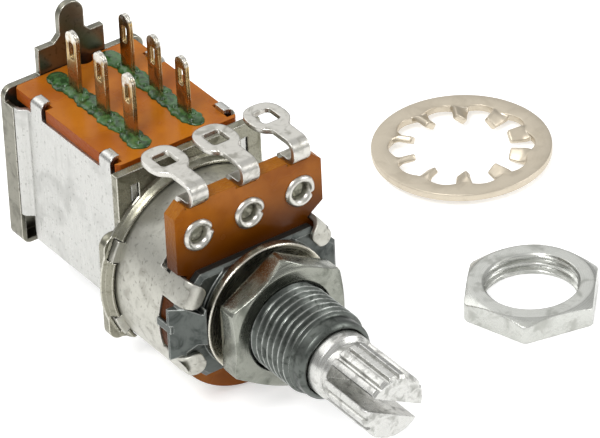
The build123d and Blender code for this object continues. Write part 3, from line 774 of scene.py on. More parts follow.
@dataclass(frozen=True)
class Finishes:
    """Every finish of the part, named for the real material."""

    # Zinc die casting: dark grey skin with fine pits, its bevels painted bright, partly as wear and partly
    # as painted highlight.
    zinc: Metal = Metal("die_cast_zinc", "#5b5f5c", "#3e4240", "#b9bcb8", (0.42, 0.56), stain_mm=1.8,
                        dent_depth_mm=0.012, pit_depth_mm=0.012, edge_mm=0.22, edge_wear_and_highlight=0.7)
    # Zinc again where the thread was rolled: darker flanks, and crests painted bright, partly as wear and
    # partly as painted highlight.
    thread: Metal = Metal("rolled_zinc_thread", "#5e625e", "#424642", "#c0c3bf", (0.34, 0.46), stain_mm=0.8,
                          dent_depth_mm=0.004, pit_depth_mm=0.004, edge_mm=0.06, edge_wear_and_highlight=0.9,
                          crest_r=(3.86, 3.94))
    # Turned steel with nickel plate: bright, with rings left by the tool.
    shaft: Metal = Metal("nickel_plated_steel_shaft", "#c4c4c0", "#989893", "#eeeeec", (0.26, 0.4),
                         stain_mm=0.9, grain=Grain.TURNED_Y, grain_mm=(0.07, 1.0), grain_depth_mm=0.006,
                         edge_mm=0.1)
    # Nickel-plated brass nut, turned: rings on its faces and chamfers. Its colours are painted darker than
    # the loose nut's, as painted shade.
    nut: Metal = Metal("nickel_plated_nut", "#8c8e85", "#686b62", "#dcddd5", (0.2, 0.34), stain_mm=2.2,
                       grain=Grain.TURNED_Y, grain_mm=(0.06, 1.0), grain_depth_mm=0.008, edge_mm=0.12)
    # The same nut lying on the table, its rings about an upright line, its colours painted lighter for the
    # light on its top.
    loose_nut: Metal = Metal("nickel_plated_loose_nut", "#c0c1bc", "#a8a9a3", "#f2f2ee", (0.26, 0.4),
                             stain_mm=1.6, grain=Grain.TURNED_Z, grain_mm=(0.06, 1.0), grain_depth_mm=0.008,
                             centre=(*LOOSE_NUT_XY, 0.0))
    # Tin plate on drawn steel: milky, mottled where the tin has crystallised.
    can: Metal = Metal("tinned_steel_can", "#b9b8af", "#a4a299", "#eceae4", (0.4, 0.52), stain_mm=1.2,
                       speck_mm=0.22, speck=0.45, dent_depth_mm=0.015, edge_mm=0.16, fleck_mm=0.3)
    # The same plate on the pressed front plate, darker and more rubbed; its brighter edges are part wear,
    # part painted highlight.
    plate: Metal = Metal("tinned_steel_plate", "#888678", "#666454", "#e2e0d4", (0.26, 0.4), stain_mm=1.2,
                         speck_mm=0.22, speck=0.45, dent_depth_mm=0.015, edge_mm=0.2, edge_wear_and_highlight=0.9,
                         fleck_mm=0.3)
    # The same plate again on the stepped back cover.
    cover: Metal = Metal("tinned_steel_cover", "#817f73", "#6a685d", "#dddbcf", (0.3, 0.42), stain_mm=1.6,
                         speck_mm=0.2, speck=0.4, dent_depth_mm=0.015, edge_mm=0.16, edge_wear_and_highlight=0.8,
                         fleck_mm=0.3, fleck="#504f48")
    # Folded tinplate with fine specks and handling scratches running up the wall.
    housing: Metal = Metal("scuffed_tinplate", "#bebeba", "#b0b0ac", "#ecebe8", (0.3, 0.44),
                           stain_mm=3.5, speck_mm=0.18, speck=0.6, grain=Grain.ALONG_Z,
                           grain_mm=(0.12, 6.0), edge_mm=0.16, fleck_mm=0.32, fleck="#7b7b76")
    # Hot-tinned brass lugs: bright with soft grey clouds.
    lug: Metal = Metal("hot_tinned_brass", "#c8c6bf", "#a3a198", "#f2f1ec", (0.3, 0.44), stain_mm=1.1,
                       speck_mm=0.3, speck=0.3, dent_mm=1.2, dent_depth_mm=0.03, edge_mm=0.14)
    # The washer under the nut: duller on its face, painted bright round its rounded rim, part wear and part
    # painted highlight.
    rim_washer: Metal = Metal("nickel_plated_washer", "#a9a596", "#8b8778", "#f3efe2", (0.26, 0.4),
                              stain_mm=1.5, grain=Grain.TURNED_Y, grain_mm=(0.06, 1.0), edge_mm=0.3,
                              edge_wear_and_highlight=0.9)
    # Satin nickel on spring steel.
    washer: Metal = Metal("satin_nickel_washer", "#c9bfad", "#c0b6a4", "#f2ecdf", (0.42, 0.48),
                          stain_mm=2.0, dent_depth_mm=0.006, edge_mm=0.1)
    # Brass terminal with a thin darkened plating, white with tin at its top.
    terminal: Metal = Metal("plated_brass_terminal", "#b39968", "#7a6038", "#d9cfb8", (0.22, 0.38),
                            stain_mm=1.2, edge_mm=0.1, edge_wear_and_highlight=0.8, tinned="#d2cfc6",
                            tinned_z=(14.9, 15.9))
    # Rolled phosphor bronze springs.
    bronze: Metal = Metal("phosphor_bronze", "#b98d52", "#8d6636", "#e0c08a", (0.25, 0.35))
    # Phenolic laminate upright behind the plate: its layers lie along Y.
    # It carries a painted shade, darkest between -2 and 5 mm high, standing in for shadow and dark
    # reflection near the casting.
    pot_board: Laminate = Laminate("phenolic_board_upright", "#a5611b", "#8a4a0b", "#9a5f14", (0, 1, 0),
                                   (0.4, 0.2, 0.4), shade="#4a2200", shade_z=(-6.0, -2.0, 5.0, 11.2))
    # Phenolic laminate lying on the switch: its layers lie along Z.
    switch_board: Laminate = Laminate("phenolic_board_flat", "#a9630f", "#965008", "#93430f", (0, 0, 1),
                                      (0.5, 0.5, 0.2))
    # Solder that has sunk into the eyelets: dull, grey, a little grainy.
    solder: Metal = Metal("sunk_solder", "#8b8a7c", "#66655a", "#b5b4a8", (0.4, 0.55), stain_mm=0.5,
                          dent_mm=0.5, dent_depth_mm=0.03)
    resin: Resin = Resin("green_sealing_resin", "#3a5f31", "#15330f")
    rotor: Moulding = Moulding("moulded_rotor_plastic", "#26282b", "#1b1c1f", 0.45)
    slider: Moulding = Moulding("moulded_slider_plastic", "#d9d6ca", "#c7c3b5", 0.4)
    carbon: Moulding = Moulding("carbon_film", "#1c1c1e", "#121214", 0.5)


# Stage


@dataclass
class Studio:
    """Camera at the photograph's angle, plain floor and soft light."""

    focal_px: float = 6000.0
    picture_px: float = 600.0
    sensor_mm: float = 36.0
    camera_mm: tuple[float, float, float] = (-224.3, -339.5, 286.0)
    forward: tuple[float, float, float] = (0.461, 0.6855, -0.5635)
    roll_deg: float = -2.7
    floor_gap_mm: float = 0.02
    floor_size_mm: float = 4000.0
    aim_mm: tuple[float, float, float] = (8.0, 5.0, 0.0)

    def camera(self) -> None:
        """Places the camera that was solved from the part's own edges."""
        data = bpy.data.cameras.new("camera")
        data.sensor_width = self.sensor_mm
        data.sensor_fit = "HORIZONTAL"
        data.lens = self.focal_px / self.picture_px * self.sensor_mm
        data.clip_start = 0.01
        data.clip_end = 20.0
        forward = Vector(self.forward).normalized()
        level = forward.cross(Vector((0, 0, 1))).normalized()
        upright = level.cross(forward)
        roll = math.radians(self.roll_deg)
        right = level * math.cos(roll) + upright * math.sin(roll)
        up = upright * math.cos(roll) - level * math.sin(roll)
        turn = Matrix((right, up, -forward)).transposed()
        camera = bpy.data.objects.new("camera", data)
        camera.matrix_world = Matrix.Translation(Vector(self.camera_mm) * MM) @ turn.to_4x4()
        bpy.context.scene.collection.objects.link(camera)
        bpy.context.scene.camera = camera

    def floor(self) -> None:
        """Lays a pale floor that shows white to the camera and keeps soft shadows."""
        half = self.floor_size_mm / 2
        mesh = bpy.data.meshes.new("floor")
        z = FLOOR_Z - self.floor_gap_mm
        corners = [(-half, -half, z), (half, -half, z), (half, half, z), (-half, half, z)]
        mesh.from_pydata([tuple(c * MM for c in p) for p in corners], [], [(0, 1, 2, 3)])
        material = bpy.data.materials.new("pale_floor")
        material.use_nodes = True
        tree = material.node_tree
        tree.nodes.clear()
        path = add_node(tree, "LightPath")
        seen = add_node(tree, "Math", {0: path.outputs["Is Camera Ray"], 1: path.outputs["Is Glossy Ray"]},
                        operation="MAXIMUM").outputs[0]
        matt = add_node(tree, "BsdfDiffuse", {"Color": srgb("#e9e9e9")}).outputs[0]
        glow = add_node(tree, "Emission", {"Color": srgb("#ffffff"), "Strength": 0.45}).outputs[0]
        lit = add_node(tree, "AddShader", {0: matt, 1: glow}).outputs[0]
        both = add_node(tree, "MixShader", {0: seen, 1: matt, 2: lit}).outputs[0]
        add_node(tree, "OutputMaterial", {"Surface": both})
        mesh.materials.append(material)
        floor = bpy.data.objects.new("floor", mesh)
        bpy.context.scene.collection.objects.link(floor)

    def world(self) -> None:
        """Lights the room softly from all sides, brighter above than below."""
        world = bpy.data.worlds.new("studio")
        bpy.context.scene.world = world
        world.use_nodes = True
        tree = world.node_tree
        tree.nodes.clear()
        direction = add_node(tree, "TexCoord").outputs["Generated"]
        height = add_node(tree, "SeparateXYZ", {0: direction}).outputs["Z"]
        ramp = add_node(tree, "MapRange", {0: height, 1: -0.2, 2: 0.9, 3: 0.3, 4: 0.8}).outputs[0]
        seen = add_node(tree, "LightPath").outputs["Is Camera Ray"]
        strength = add_node(tree, "Mix", {0: seen, 2: ramp, 3: 1.0}).outputs[0]
        back = add_node(tree, "Background", {"Color": srgb("#ffffff"), "Strength": strength}).outputs[0]
        add_node(tree, "OutputWorld", {"Surface": back})

    def lamp(self, name: str, at: tuple[float, float, float], size_mm: float, watts: float) -> None:
        """Hangs one square soft box, turned towards the part.

        Args:
            name: The lamp's name.
            at: Where it hangs, in millimetres.
            size_mm: Its side.
            watts: Its power.
        """
        data = bpy.data.lights.new(name, "AREA")
        data.size = size_mm * MM
        data.energy = watts
        lamp = bpy.data.objects.new(name, data)
        place = Vector(at) * MM
        aim = Vector(self.aim_mm) * MM - place
        lamp.matrix_world = Matrix.Translation(place) @ aim.to_track_quat("-Z", "Y").to_matrix().to_4x4()
        bpy.context.scene.collection.objects.link(lamp)

    def build(self) -> None:
        """Sets up the whole stage."""
        bpy.context.scene.view_settings.view_transform = "Standard"
        self.camera()
        self.floor()
        self.world()
        self.lamp("key_light", (-350, -150, 520), 260, 2.3)
        self.lamp("fill_light", (450, -350, 300), 300, 1.2)
        self.lamp("rim_light", (-200, 520, 500), 420, 0.9)
        self.lamp("back_light", (230, 470, 380), 420, 0.3)


# Turned and threaded pieces


@dataclass
class Thread:
    """A right-hand metric thread about the shaft's line."""

    pitch: float = 0.75
    depth: float = 0.42
    crest_share: float = 0.1
    flank_share: float = 0.75
    steps: int = 180

    def radius(self, crest: np.ndarray | float, along: np.ndarray | float, angle: np.ndarray,
               fade: np.ndarray | float, inward: bool) -> np.ndarray:
        """Radius of a threaded wall.

        The wave w runs once per pitch along the line y + pitch a / turn. It is flat at
        the crest for the crest's share of the pitch and rounded at the root, and the
        radius is crest less depth times w, or crest plus it for a nut.

        Args:
            crest: Radius at the crest.
            along: Places along the axis.
            angle: Angles round it.
            fade: Share of the full depth at each place.
            inward: Whether the wall is a nut's, which faces inwards.

        Returns:
            The radius at each place and angle.
        """
        phase = along / self.pitch + angle / TAU
        ramp = np.abs((phase % 1.0) * 2.0 - 1.0)
        wave = np.clip((ramp - self.crest_share) / self.flank_share, 0.0, 1.0)
        wave = 0.5 * wave + 0.5 * np.sin(wave * math.pi / 2)
        return crest + self.depth * fade * wave * (1.0 if inward else -1.0)


@dataclass
class ThreadedBushing:
    """Barrel of the casting, with its thread, its smooth lead and its bore."""

    thread: Thread = field(default_factory=Thread)
    crest: float = 3.95
    root: float = 0.2
    thread_end: float = -9.2
    run_out: float = 0.35
    lead: float = 3.58
    end: float = -10.4
    chamfer: float = 0.3
    bore: float = 3.08
    least_wall: float = 0.3
    rows_per_pitch: int = 12

    def barrel(self) -> Skin:
        """Threaded wall, lead, nose and bore as one closed grid.

        Each corner of the nose has a point on either side, so that it shades soft.

        Returns:
            The barrel's skin.
        """
        rows = int(-self.thread_end / self.thread.pitch * self.rows_per_pitch)
        depth = np.linspace(self.root, self.thread_end, rows)[:, None]
        angle = np.linspace(0, TAU, self.thread.steps, endpoint=False)
        fade = np.clip((depth - self.thread_end) / self.run_out, 0, 1)
        crest = self.lead + (self.crest - self.lead) * fade
        radius = self.thread.radius(crest, depth, angle, fade, False)
        radius = np.maximum(radius, self.bore + self.least_wall)
        nose = np.array([
            (self.lead, self.thread_end - 0.05),
            (self.lead, self.end + self.chamfer + 0.05),
            (self.lead - 0.03, self.end + self.chamfer - 0.02),
            (self.lead - self.chamfer + 0.03, self.end + 0.03),
            (self.lead - self.chamfer - 0.03, self.end),
            (self.bore + 0.05, self.end),
            (self.bore, self.end + 0.05),
            (self.bore, self.root),
        ])
        wall = np.concatenate([around(radius, depth, angle), turned(nose, self.thread.steps)])
        return lattice(wall, wrap_u=True, wrap_v=True)

    def dress(self, frame: dict, finishes: Finishes) -> None:
        """Shows the casting with its real thread.

        Args:
            frame: The loaded frame.
            finishes: Every finish.
        """
        def off_barrel(centres: np.ndarray) -> np.ndarray:
            """Keeps what lies away from the barrel's plain wall, nose and bore.

            Args:
                centres: Middles of the casting's faces.

            Returns:
                Whether each face is kept.
            """
            radius = np.hypot(centres[:, 0], centres[:, 2])
            barrel = (centres[:, 1] < -0.005) & (radius < self.crest + 0.05)
            return ~(barrel | (radius < self.bore + 0.02))

        cast = cad_skin(frame["nodes"]["mounting_bushing"], off_barrel)
        shown = ("mounting_bushing",)
        make_piece("casting", [cast], finishes.zinc.build(), "body", shown, 25)
        barrel = self.barrel()
        make_piece("threaded_barrel", [barrel], finishes.thread.build(), "body", shown, 50)


@dataclass
class HexNut:
    """A chamfered hexagon nut, on the bushing's thread or flat on the table.

    Its place is the centre of its depth-zero face, or of its underside when it is flat.
    """

    name: str
    at: tuple[float, float, float]
    flat: bool = False
    flats_deg: float = 0.0
    width: float = 11.0
    thickness: float = 2.2
    chamfer: float = 0.12
    chamfer_deg: float = 30.0
    ease_from: float = 1.13
    edge: float = 0.14
    bore: float = 4.0
    mouth: float = 0.2
    thread: Thread = field(default_factory=Thread)
    thread_rows: int = 40
    steps: int = 240

    def grid(self) -> np.ndarray:
        """Closed wall of the nut about Y, from depth 0 to its thickness.

        The flat at angle a lies at half the width over cos of the angle to the nearest
        flat, and the corner is eased by the square of the way from ease_from to its
        point. The chamfer cone meets it at a depth that grows with the radius past the
        flats, so each corner shows its arc.

        Returns:
            The grid, with one row for each ring of points.
        """
        angle = np.linspace(0, TAU, self.steps, endpoint=False)
        half = self.width / 2
        thick = self.thickness
        sector = math.radians(60)
        to_flat = (angle - math.radians(self.flats_deg) + sector / 2) % sector - sector / 2
        way = (1 / np.cos(to_flat) - self.ease_from) / (1 / math.cos(sector / 2) - self.ease_from)
        hexagon = half / np.cos(to_flat) - self.chamfer * np.clip(way, 0, 1) ** 2
        rim = half - self.chamfer
        over = (hexagon - rim) * math.tan(math.radians(self.chamfer_deg))
        rows: list[tuple[np.ndarray, np.ndarray]] = []

        def row(radius: np.ndarray | float, depth: np.ndarray | float) -> None:
            """Adds one ring of points."""
            rows.append((radius + 0 * angle, depth + 0 * angle))

        faces = np.linspace(self.bore + self.mouth, half - 0.2, 4)
        for radius in faces:
            row(radius, 0.0)
        row(rim, 0.01)
        for share in (0.5, 0.96):
            row(rim + (hexagon - rim) * share, over * share)
        for share in (0.0, 0.3, 0.7, 1.0):
            row(hexagon, (over + 0.05) * (1 - share) + (thick - self.edge) * share)
        row(hexagon - 0.04, thick - 0.04)
        row(hexagon - self.edge, thick)
        for radius in faces[::-1]:
            row(radius, thick)
        for depth in np.linspace(thick - 0.12, 0.12, self.thread_rows):
            fade = min(1.0, 0.3 + min(depth, thick - depth) * 1.4)
            row(self.thread.radius(self.bore - 0.02, depth, angle, fade, True), depth)
        radius, depth = np.stack(rows, axis=1)
        return around(radius, depth, angle)

    def build(self, finish: Metal) -> None:
        """Makes the nut in its place.

        Args:
            finish: Its metal.
        """
        grid = self.grid()
        if self.flat:
            grid = np.stack([grid[..., 0], grid[..., 2], self.thickness - grid[..., 1]], axis=-1)
        skin = lattice(grid + np.array(self.at), wrap_u=True, wrap_v=True)
        make_piece(self.name, [skin], finish.build(), self.name, (self.name,), 28)


# Lugs, can, washer, terminals, eyelets and resin


@dataclass
class SolderLug:
    """Tinned lug: a pad behind the board, a step through its notch and a broad head."""

    name: str
    x: float
    sheet: float = 0.45
    rear_y: float = 3.175
    nose_y: float = 1.03
    pad_low: float = 7.1
    pad_top: float = 9.9
    pad_half: float = 1.4
    step_z: float = 11.605
    bends: tuple[float, float, float] = (0.3, 0.85, 0.85)
    neck: float = 0.825
    head_from: float = 3.2
    head_z: float = 13.45
    head_y: float = 5.85
    head_long: float = 2.0
    head_wide: float = 1.75
    eye: Eye = Eye(5.85, 1.95, 1.7, 0.35)

    def outline(self, place: np.ndarray) -> np.ndarray:
        """Half width of the lug beyond its step.

        The head follows 1 less the power 2.5 of the way from its centre, to the power
        0.4, and a soft maximum with the neck gives the fillet between them.

        Args:
            place: Depths y along the head.

        Returns:
            The half width at each.
        """
        way = np.clip(np.abs(place - self.head_y) / self.head_long, 0, 1)
        head = self.head_wide * (1 - way**2.5) ** 0.4
        neck = np.where(place < self.head_y, self.neck, 0.0)
        return (head**5 + neck**5) ** 0.2

    def build(self, finish: bpy.types.Material) -> None:
        """Makes the lug.

        Args:
            finish: Its material.
        """
        corners = [(self.rear_y, self.pad_low), (self.rear_y, self.step_z), (self.nose_y, self.step_z),
                   (self.nose_y, self.head_z), (self.head_from, self.head_z)]
        shank = dense(bent(corners, self.bends))
        turn = np.radians(np.linspace(0, 88, 16))
        places = [np.linspace(self.head_from + 0.15, self.head_y - 0.05, 12),
                  self.head_y + self.head_long * np.sin(turn), self.eye.stops()]
        reach = np.unique(np.round(np.concatenate(places), 3))
        line = np.concatenate([shank, np.stack([reach, np.full_like(reach, self.head_z)], axis=1)])
        depth, height = line.T
        on_pad = (height < self.pad_top) & (depth > self.rear_y - 0.6)
        on_head = (height > self.head_z - 0.01) & (depth > self.head_from - 0.2)
        half = np.where(on_pad, self.pad_half, np.where(on_head, self.outline(depth), self.neck))
        axes = Axes((self.x, 0, 0), (0, 1, 0), (0, 0, 1), (1, 0, 0))
        skin = pressed(line, half, self.sheet, axes, self.eye, np.where(on_head, depth, 0.0))
        make_piece(self.name, [skin], finish, "body", (self.name,), 40, 0.1)


@dataclass
class Can:
    """Tinned can: four straps bent softly over the casting, four ears staked behind."""

    strap_deg: tuple[float, ...] = (152.0, 35.0, 203.0, 330.0)
    mouth_y: float = 3.0
    wall_r: float = 8.275
    sheet: float = 0.45
    half: float = 1.15
    reach: float = 6.7
    face_y: float = 0.175
    bend: float = 0.95
    corner: float = 0.75
    corner_share: float = 0.985
    ear_deg: tuple[float, ...] = (24.5, 155.5, 204.5, 335.5)
    ear_r: tuple[float, float] = (8.3, 9.14)
    ear_y: float = 9.52
    ear_half: float = 0.9
    ear_sheet: float = 0.32

    def curved(self, skin: Skin, degrees: float) -> Skin:
        """Bends a flat strip round the can.

        The strip's u, v and w become the radius, the depth and the way round, where w
        is an arc's length on the wall.

        Args:
            skin: The strip.
            degrees: Where round the can its middle lies.

        Returns:
            The bent strip.
        """
        radius, depth, along = skin.points.T
        return Skin(around(radius, depth, math.radians(degrees) + along / self.wall_r), skin.faces)

    def strap(self, degrees: float) -> Skin:
        """One strap, with the corners of its end rounded off.

        Within a corner's radius of the end, the half width is its full width less the
        radius, plus the root of the radius squared less the square of the way in.

        Args:
            degrees: Where round the can it lies.

        Returns:
            The strap's skin.
        """
        corners = [(self.wall_r, self.mouth_y + 0.02), (self.wall_r, self.face_y),
                   (self.reach, self.face_y)]
        line = dense(bent(corners, (self.bend,), 14), 0.12)
        run = lengths(line)
        way = np.clip(self.corner - (run[-1] - run), 0, self.corner * self.corner_share)
        half = self.half - self.corner + np.sqrt(self.corner**2 - way**2)
        return self.curved(pressed(line, half, self.sheet, Axes()), degrees)

    def ear(self, degrees: float) -> Skin:
        """Swelled end of one ear, where it is staked into its window.

        Args:
            degrees: Where round the can it lies.

        Returns:
            The ear's skin.
        """
        radius = np.linspace(*self.ear_r, 6)
        line = np.stack([radius, np.full_like(radius, self.ear_y)], axis=1)
        half = np.full_like(radius, self.ear_half)
        return self.curved(pressed(line, half, self.ear_sheet, Axes()), degrees)

    def dress(self, frame: dict, finish: bpy.types.Material) -> None:
        """Shows the can's wall and back from the CAD part, with soft straps and staked ears.

        Args:
            frame: The loaded frame.
            finish: The can's material.
        """
        cup = cad_skin(frame["nodes"]["can"], lambda centres: centres[:, 1] > self.mouth_y - 0.005)
        make_piece("can_cup", [cup], finish, "body", ("can",), 25)
        straps = [self.strap(degrees) for degrees in self.strap_deg]
        ears = [self.ear(degrees) for degrees in self.ear_deg]
        make_piece("can_straps", straps + ears, finish, "body", ("can",), 40, 0.1)


@dataclass
class LockWasher:
    """Sheet ring with ten inner teeth, each twisted about the line to the centre."""

    centre: tuple[float, float] = (33.5, 17.8)
    level: float = -7.55
    outer: float = 8.0
    inner: float = 6.5
    bell_mm: float = 0.5
    bell_rad: float = 0.17
    root: float = 6.9
    tip: float = 4.42
    sheet: float = 0.7
    count: int = 10
    first_deg: float = 19.0
    twist_deg: float = 38.0
    twist_end: float = 1.9
    root_width: float = 1.9
    tip_width: float = 1.15
    softness: float = 0.35
    columns: int = 28

    def ring(self) -> Skin:
        """Flat ring whose inner edge swells towards each tooth with a bell.

        Returns:
            The ring's skin.
        """
        angle = np.linspace(0, TAU, 480, endpoint=False)
        pitch = TAU / self.count
        away = (angle - math.radians(self.first_deg) + pitch / 2) % pitch - pitch / 2
        inner = self.inner - self.bell_mm * np.exp(-((away / self.bell_rad) ** 2))
        low, high = self.level - self.sheet / 2, self.level + self.sheet / 2
        axes = Axes((*self.centre, 0.0))
        return pierced(circle(self.outer, angle), circle(1.0, angle) * inner[:, None], low, high, axes)

    def tooth(self, degrees: float) -> Skin:
        """One tooth, widest at its root, with soft edges and a rounded tip.

        Its section is a soft rectangle: cos and sin, each to the power of the softness
        and with its own sign. The section turns by the twist times the squared sine of
        the way in, and the last three rows shrink to round the tip.

        Args:
            degrees: Where round the ring it lies.

        Returns:
            The tooth's skin.
        """
        rows = 18
        tips = [self.tip + 0.08, self.tip + 0.02, self.tip]
        out = np.concatenate([np.linspace(self.root, self.tip + 0.16, rows), tips])[:, None]
        shrink = np.concatenate([np.ones(rows), [0.95, 0.84, 0.66]])[:, None]
        share = np.clip((self.inner - out) / (self.inner - self.tip), 0, 1)
        twisted = np.sin(np.clip(share * self.twist_end, 0, 1) * math.pi / 2) ** 2
        turn = math.radians(self.twist_deg) * twisted
        angle = np.linspace(0, TAU, self.columns, endpoint=False)
        square = np.stack([np.cos(angle), np.sin(angle)])
        soft_cos, soft_sin = np.sign(square) * np.abs(square) ** self.softness
        width = self.root_width + (self.tip_width - self.root_width) * share**0.6
        wide = width / 2 * shrink * soft_cos
        high = (self.sheet - 0.06) / 2 * shrink * soft_sin
        side = wide * np.cos(turn) - high * np.sin(turn)
        rise = wide * np.sin(turn) + high * np.cos(turn)
        c, s = math.cos(math.radians(degrees)), math.sin(math.radians(degrees))
        x = self.centre[0] + out * c - side * s
        y = self.centre[1] + out * s + side * c
        return capped(np.stack([x, y, self.level + rise], axis=-1))

    def build(self, finish: bpy.types.Material) -> None:
        """Makes the washer.

        Args:
            finish: Its material.
        """
        turns = [self.first_deg + 360 / self.count * k for k in range(self.count)]
        skins = [self.ring(), *(self.tooth(degrees) for degrees in turns)]
        make_piece("lock_washer", skins, finish, "lock_washer", ("lock_washer",), 40)


@dataclass
class SwitchTerminal:
    """Upright blade folded from two leaves, with an eye and a pad under the board."""

    name: str
    x: float
    y: float
    top: float
    low: float = 8.8
    half: float = 0.775
    leaf: float = 0.19
    apart: float = 0.21
    eye_drop: float = 1.9
    eye_long: float = 1.7
    eye_wide: float = 0.75
    eye_corner: float = 0.25
    pad_z: float = 8.94
    pad_reach: float = 1.6
    pad_half: float = 0.8
    pad_sheet: float = 0.28

    def build(self, finish: bpy.types.Material) -> None:
        """Makes the blade and its pad.

        The blade's half width is level up to its crown and follows a half circle above.

        Args:
            finish: Their material.
        """
        eye = Eye(self.top - self.eye_drop, self.eye_long, self.eye_wide, self.eye_corner)
        crown = self.top - self.half
        turn = np.radians(np.linspace(0, 86, 12))
        places = [np.linspace(self.low, crown, 20), crown + self.half * np.sin(turn), eye.stops()]
        height = np.unique(np.round(np.concatenate(places), 3))
        half = np.sqrt(self.half**2 - np.clip(height - crown, 0, self.half) ** 2)
        upright = Axes((self.x, self.y, 0), (0, 0, 1), (1, 0, 0), (0, 1, 0))
        skins = []
        for side in (-0.5, 0.5):
            line = np.stack([height, np.full_like(height, side * self.apart)], axis=1)
            skins.append(pressed(line, half, self.leaf, upright, eye, height))
        depth = np.linspace(-self.pad_reach, self.pad_reach, 9)
        line = np.stack([depth, np.full_like(depth, self.pad_z)], axis=1)
        lying = Axes((self.x, self.y, 0), (0, 1, 0), (0, 0, 1), (1, 0, 0))
        skins.append(pressed(line, np.full_like(depth, self.pad_half), self.pad_sheet, lying))
        make_piece(self.name, skins, finish, "body", (self.name,), 40, 0.06)


@dataclass
class Eyelets:
    """Three hollow rivets: a rolled lip with a split, a deep mouth and a solder plug."""

    xs: tuple[float, ...] = tuple(LUG_X.values())
    z: float = 8.5
    front: float = 1.45
    back: float = 3.4
    mouth: float = 0.76
    shank: float = 0.9
    lip: float = 1.48
    rear_lip: float = 1.3
    split_deg: tuple[float, ...] = (8.0, 350.0, 335.0)
    split_rad: float = 0.13
    split_mm: float = 0.32
    steps: int = 96
    plug_steps: int = 48

    def wall(self, x: float, split_deg: float) -> Skin:
        """Closed wall of one eyelet, from its mouth over both lips.

        The lip's radius swells and shrinks with a sum of sines, and a bell-shaped notch
        at the split takes split_mm off it.

        Args:
            x: Where the eyelet stands.
            split_deg: Where round it its lip is split.

        Returns:
            The eyelet's skin.
        """
        mouth, shank, front, back, lip = self.mouth, self.shank, self.front, self.back, self.lip
        profile = np.array([
            (mouth, front + 0.6), (mouth, front + 0.12), (0.8, front - 0.02), (0.9, front - 0.18),
            (1.02, front - 0.29), (1.14, front - 0.33), (1.27, front - 0.3), (1.38, front - 0.2),
            (lip - 0.02, front - 0.08), (lip, front), (shank, front + 0.02), (shank, back - 0.02),
            (self.rear_lip, back), (self.rear_lip, back + 0.12), (1.2, back + 0.25), (1.0, back + 0.33),
            (0.8, back + 0.3), (mouth, back + 0.1),
        ])
        radius, depth = profile[:, :1], profile[:, 1:2]
        angle = np.linspace(0, TAU, self.steps, endpoint=False)
        away = (angle - math.radians(split_deg) + math.pi) % TAU - math.pi
        notch = np.exp(-((away / self.split_rad) ** 2))
        swell = 0.02 * np.sin(3 * angle + x) + 0.015 * np.sin(5 * angle + 2 * x)
        share = np.clip((radius - shank) / 0.5, 0, 1)
        dip = np.where(depth < front, share * notch * 0.1, 0.0)
        grid = around(radius + share * (swell - self.split_mm * notch), depth + dip, angle)
        return lattice(grid + np.array((x, 0.0, self.z)), wrap_u=True, wrap_v=True)

    def plug(self, x: float) -> Skin:
        """Sunk plug of solder in one eyelet.

        It is a shallow dish, and its dimple is the sine of twice the angle times the
        sine of four times the radius.

        Args:
            x: Where the eyelet stands.

        Returns:
            The plug's skin.
        """
        radius = np.array([0.8, 0.8, 0.76, 0.6, 0.4, 0.2, 0.04])[:, None]
        depth = np.array([2.6, 1.98, 1.9, 1.82, 1.78, 1.77, 1.77])[:, None]
        angle = np.linspace(0, TAU, self.plug_steps, endpoint=False)
        dimple = 0.05 * np.sin(2 * angle + x) * np.sin(radius * 4)
        return capped(around(radius, depth + dimple, angle) + np.array((x, 0.0, self.z)))

    def dress(self, lip: bpy.types.Material, plug: bpy.types.Material) -> None:
        """Makes all three.

        Args:
            lip: Material of the rivets.
            plug: Material of the solder in them.
        """
        walls = [self.wall(x, split) for x, split in zip(self.xs, self.split_deg)]
        plugs = [self.plug(x) for x in self.xs]
        for name, skins, finish in (("eyelets", walls, lip), ("eyelet_solder", plugs, plug)):
            make_piece(name, skins, finish, "body", ("board_rivets",), 50)


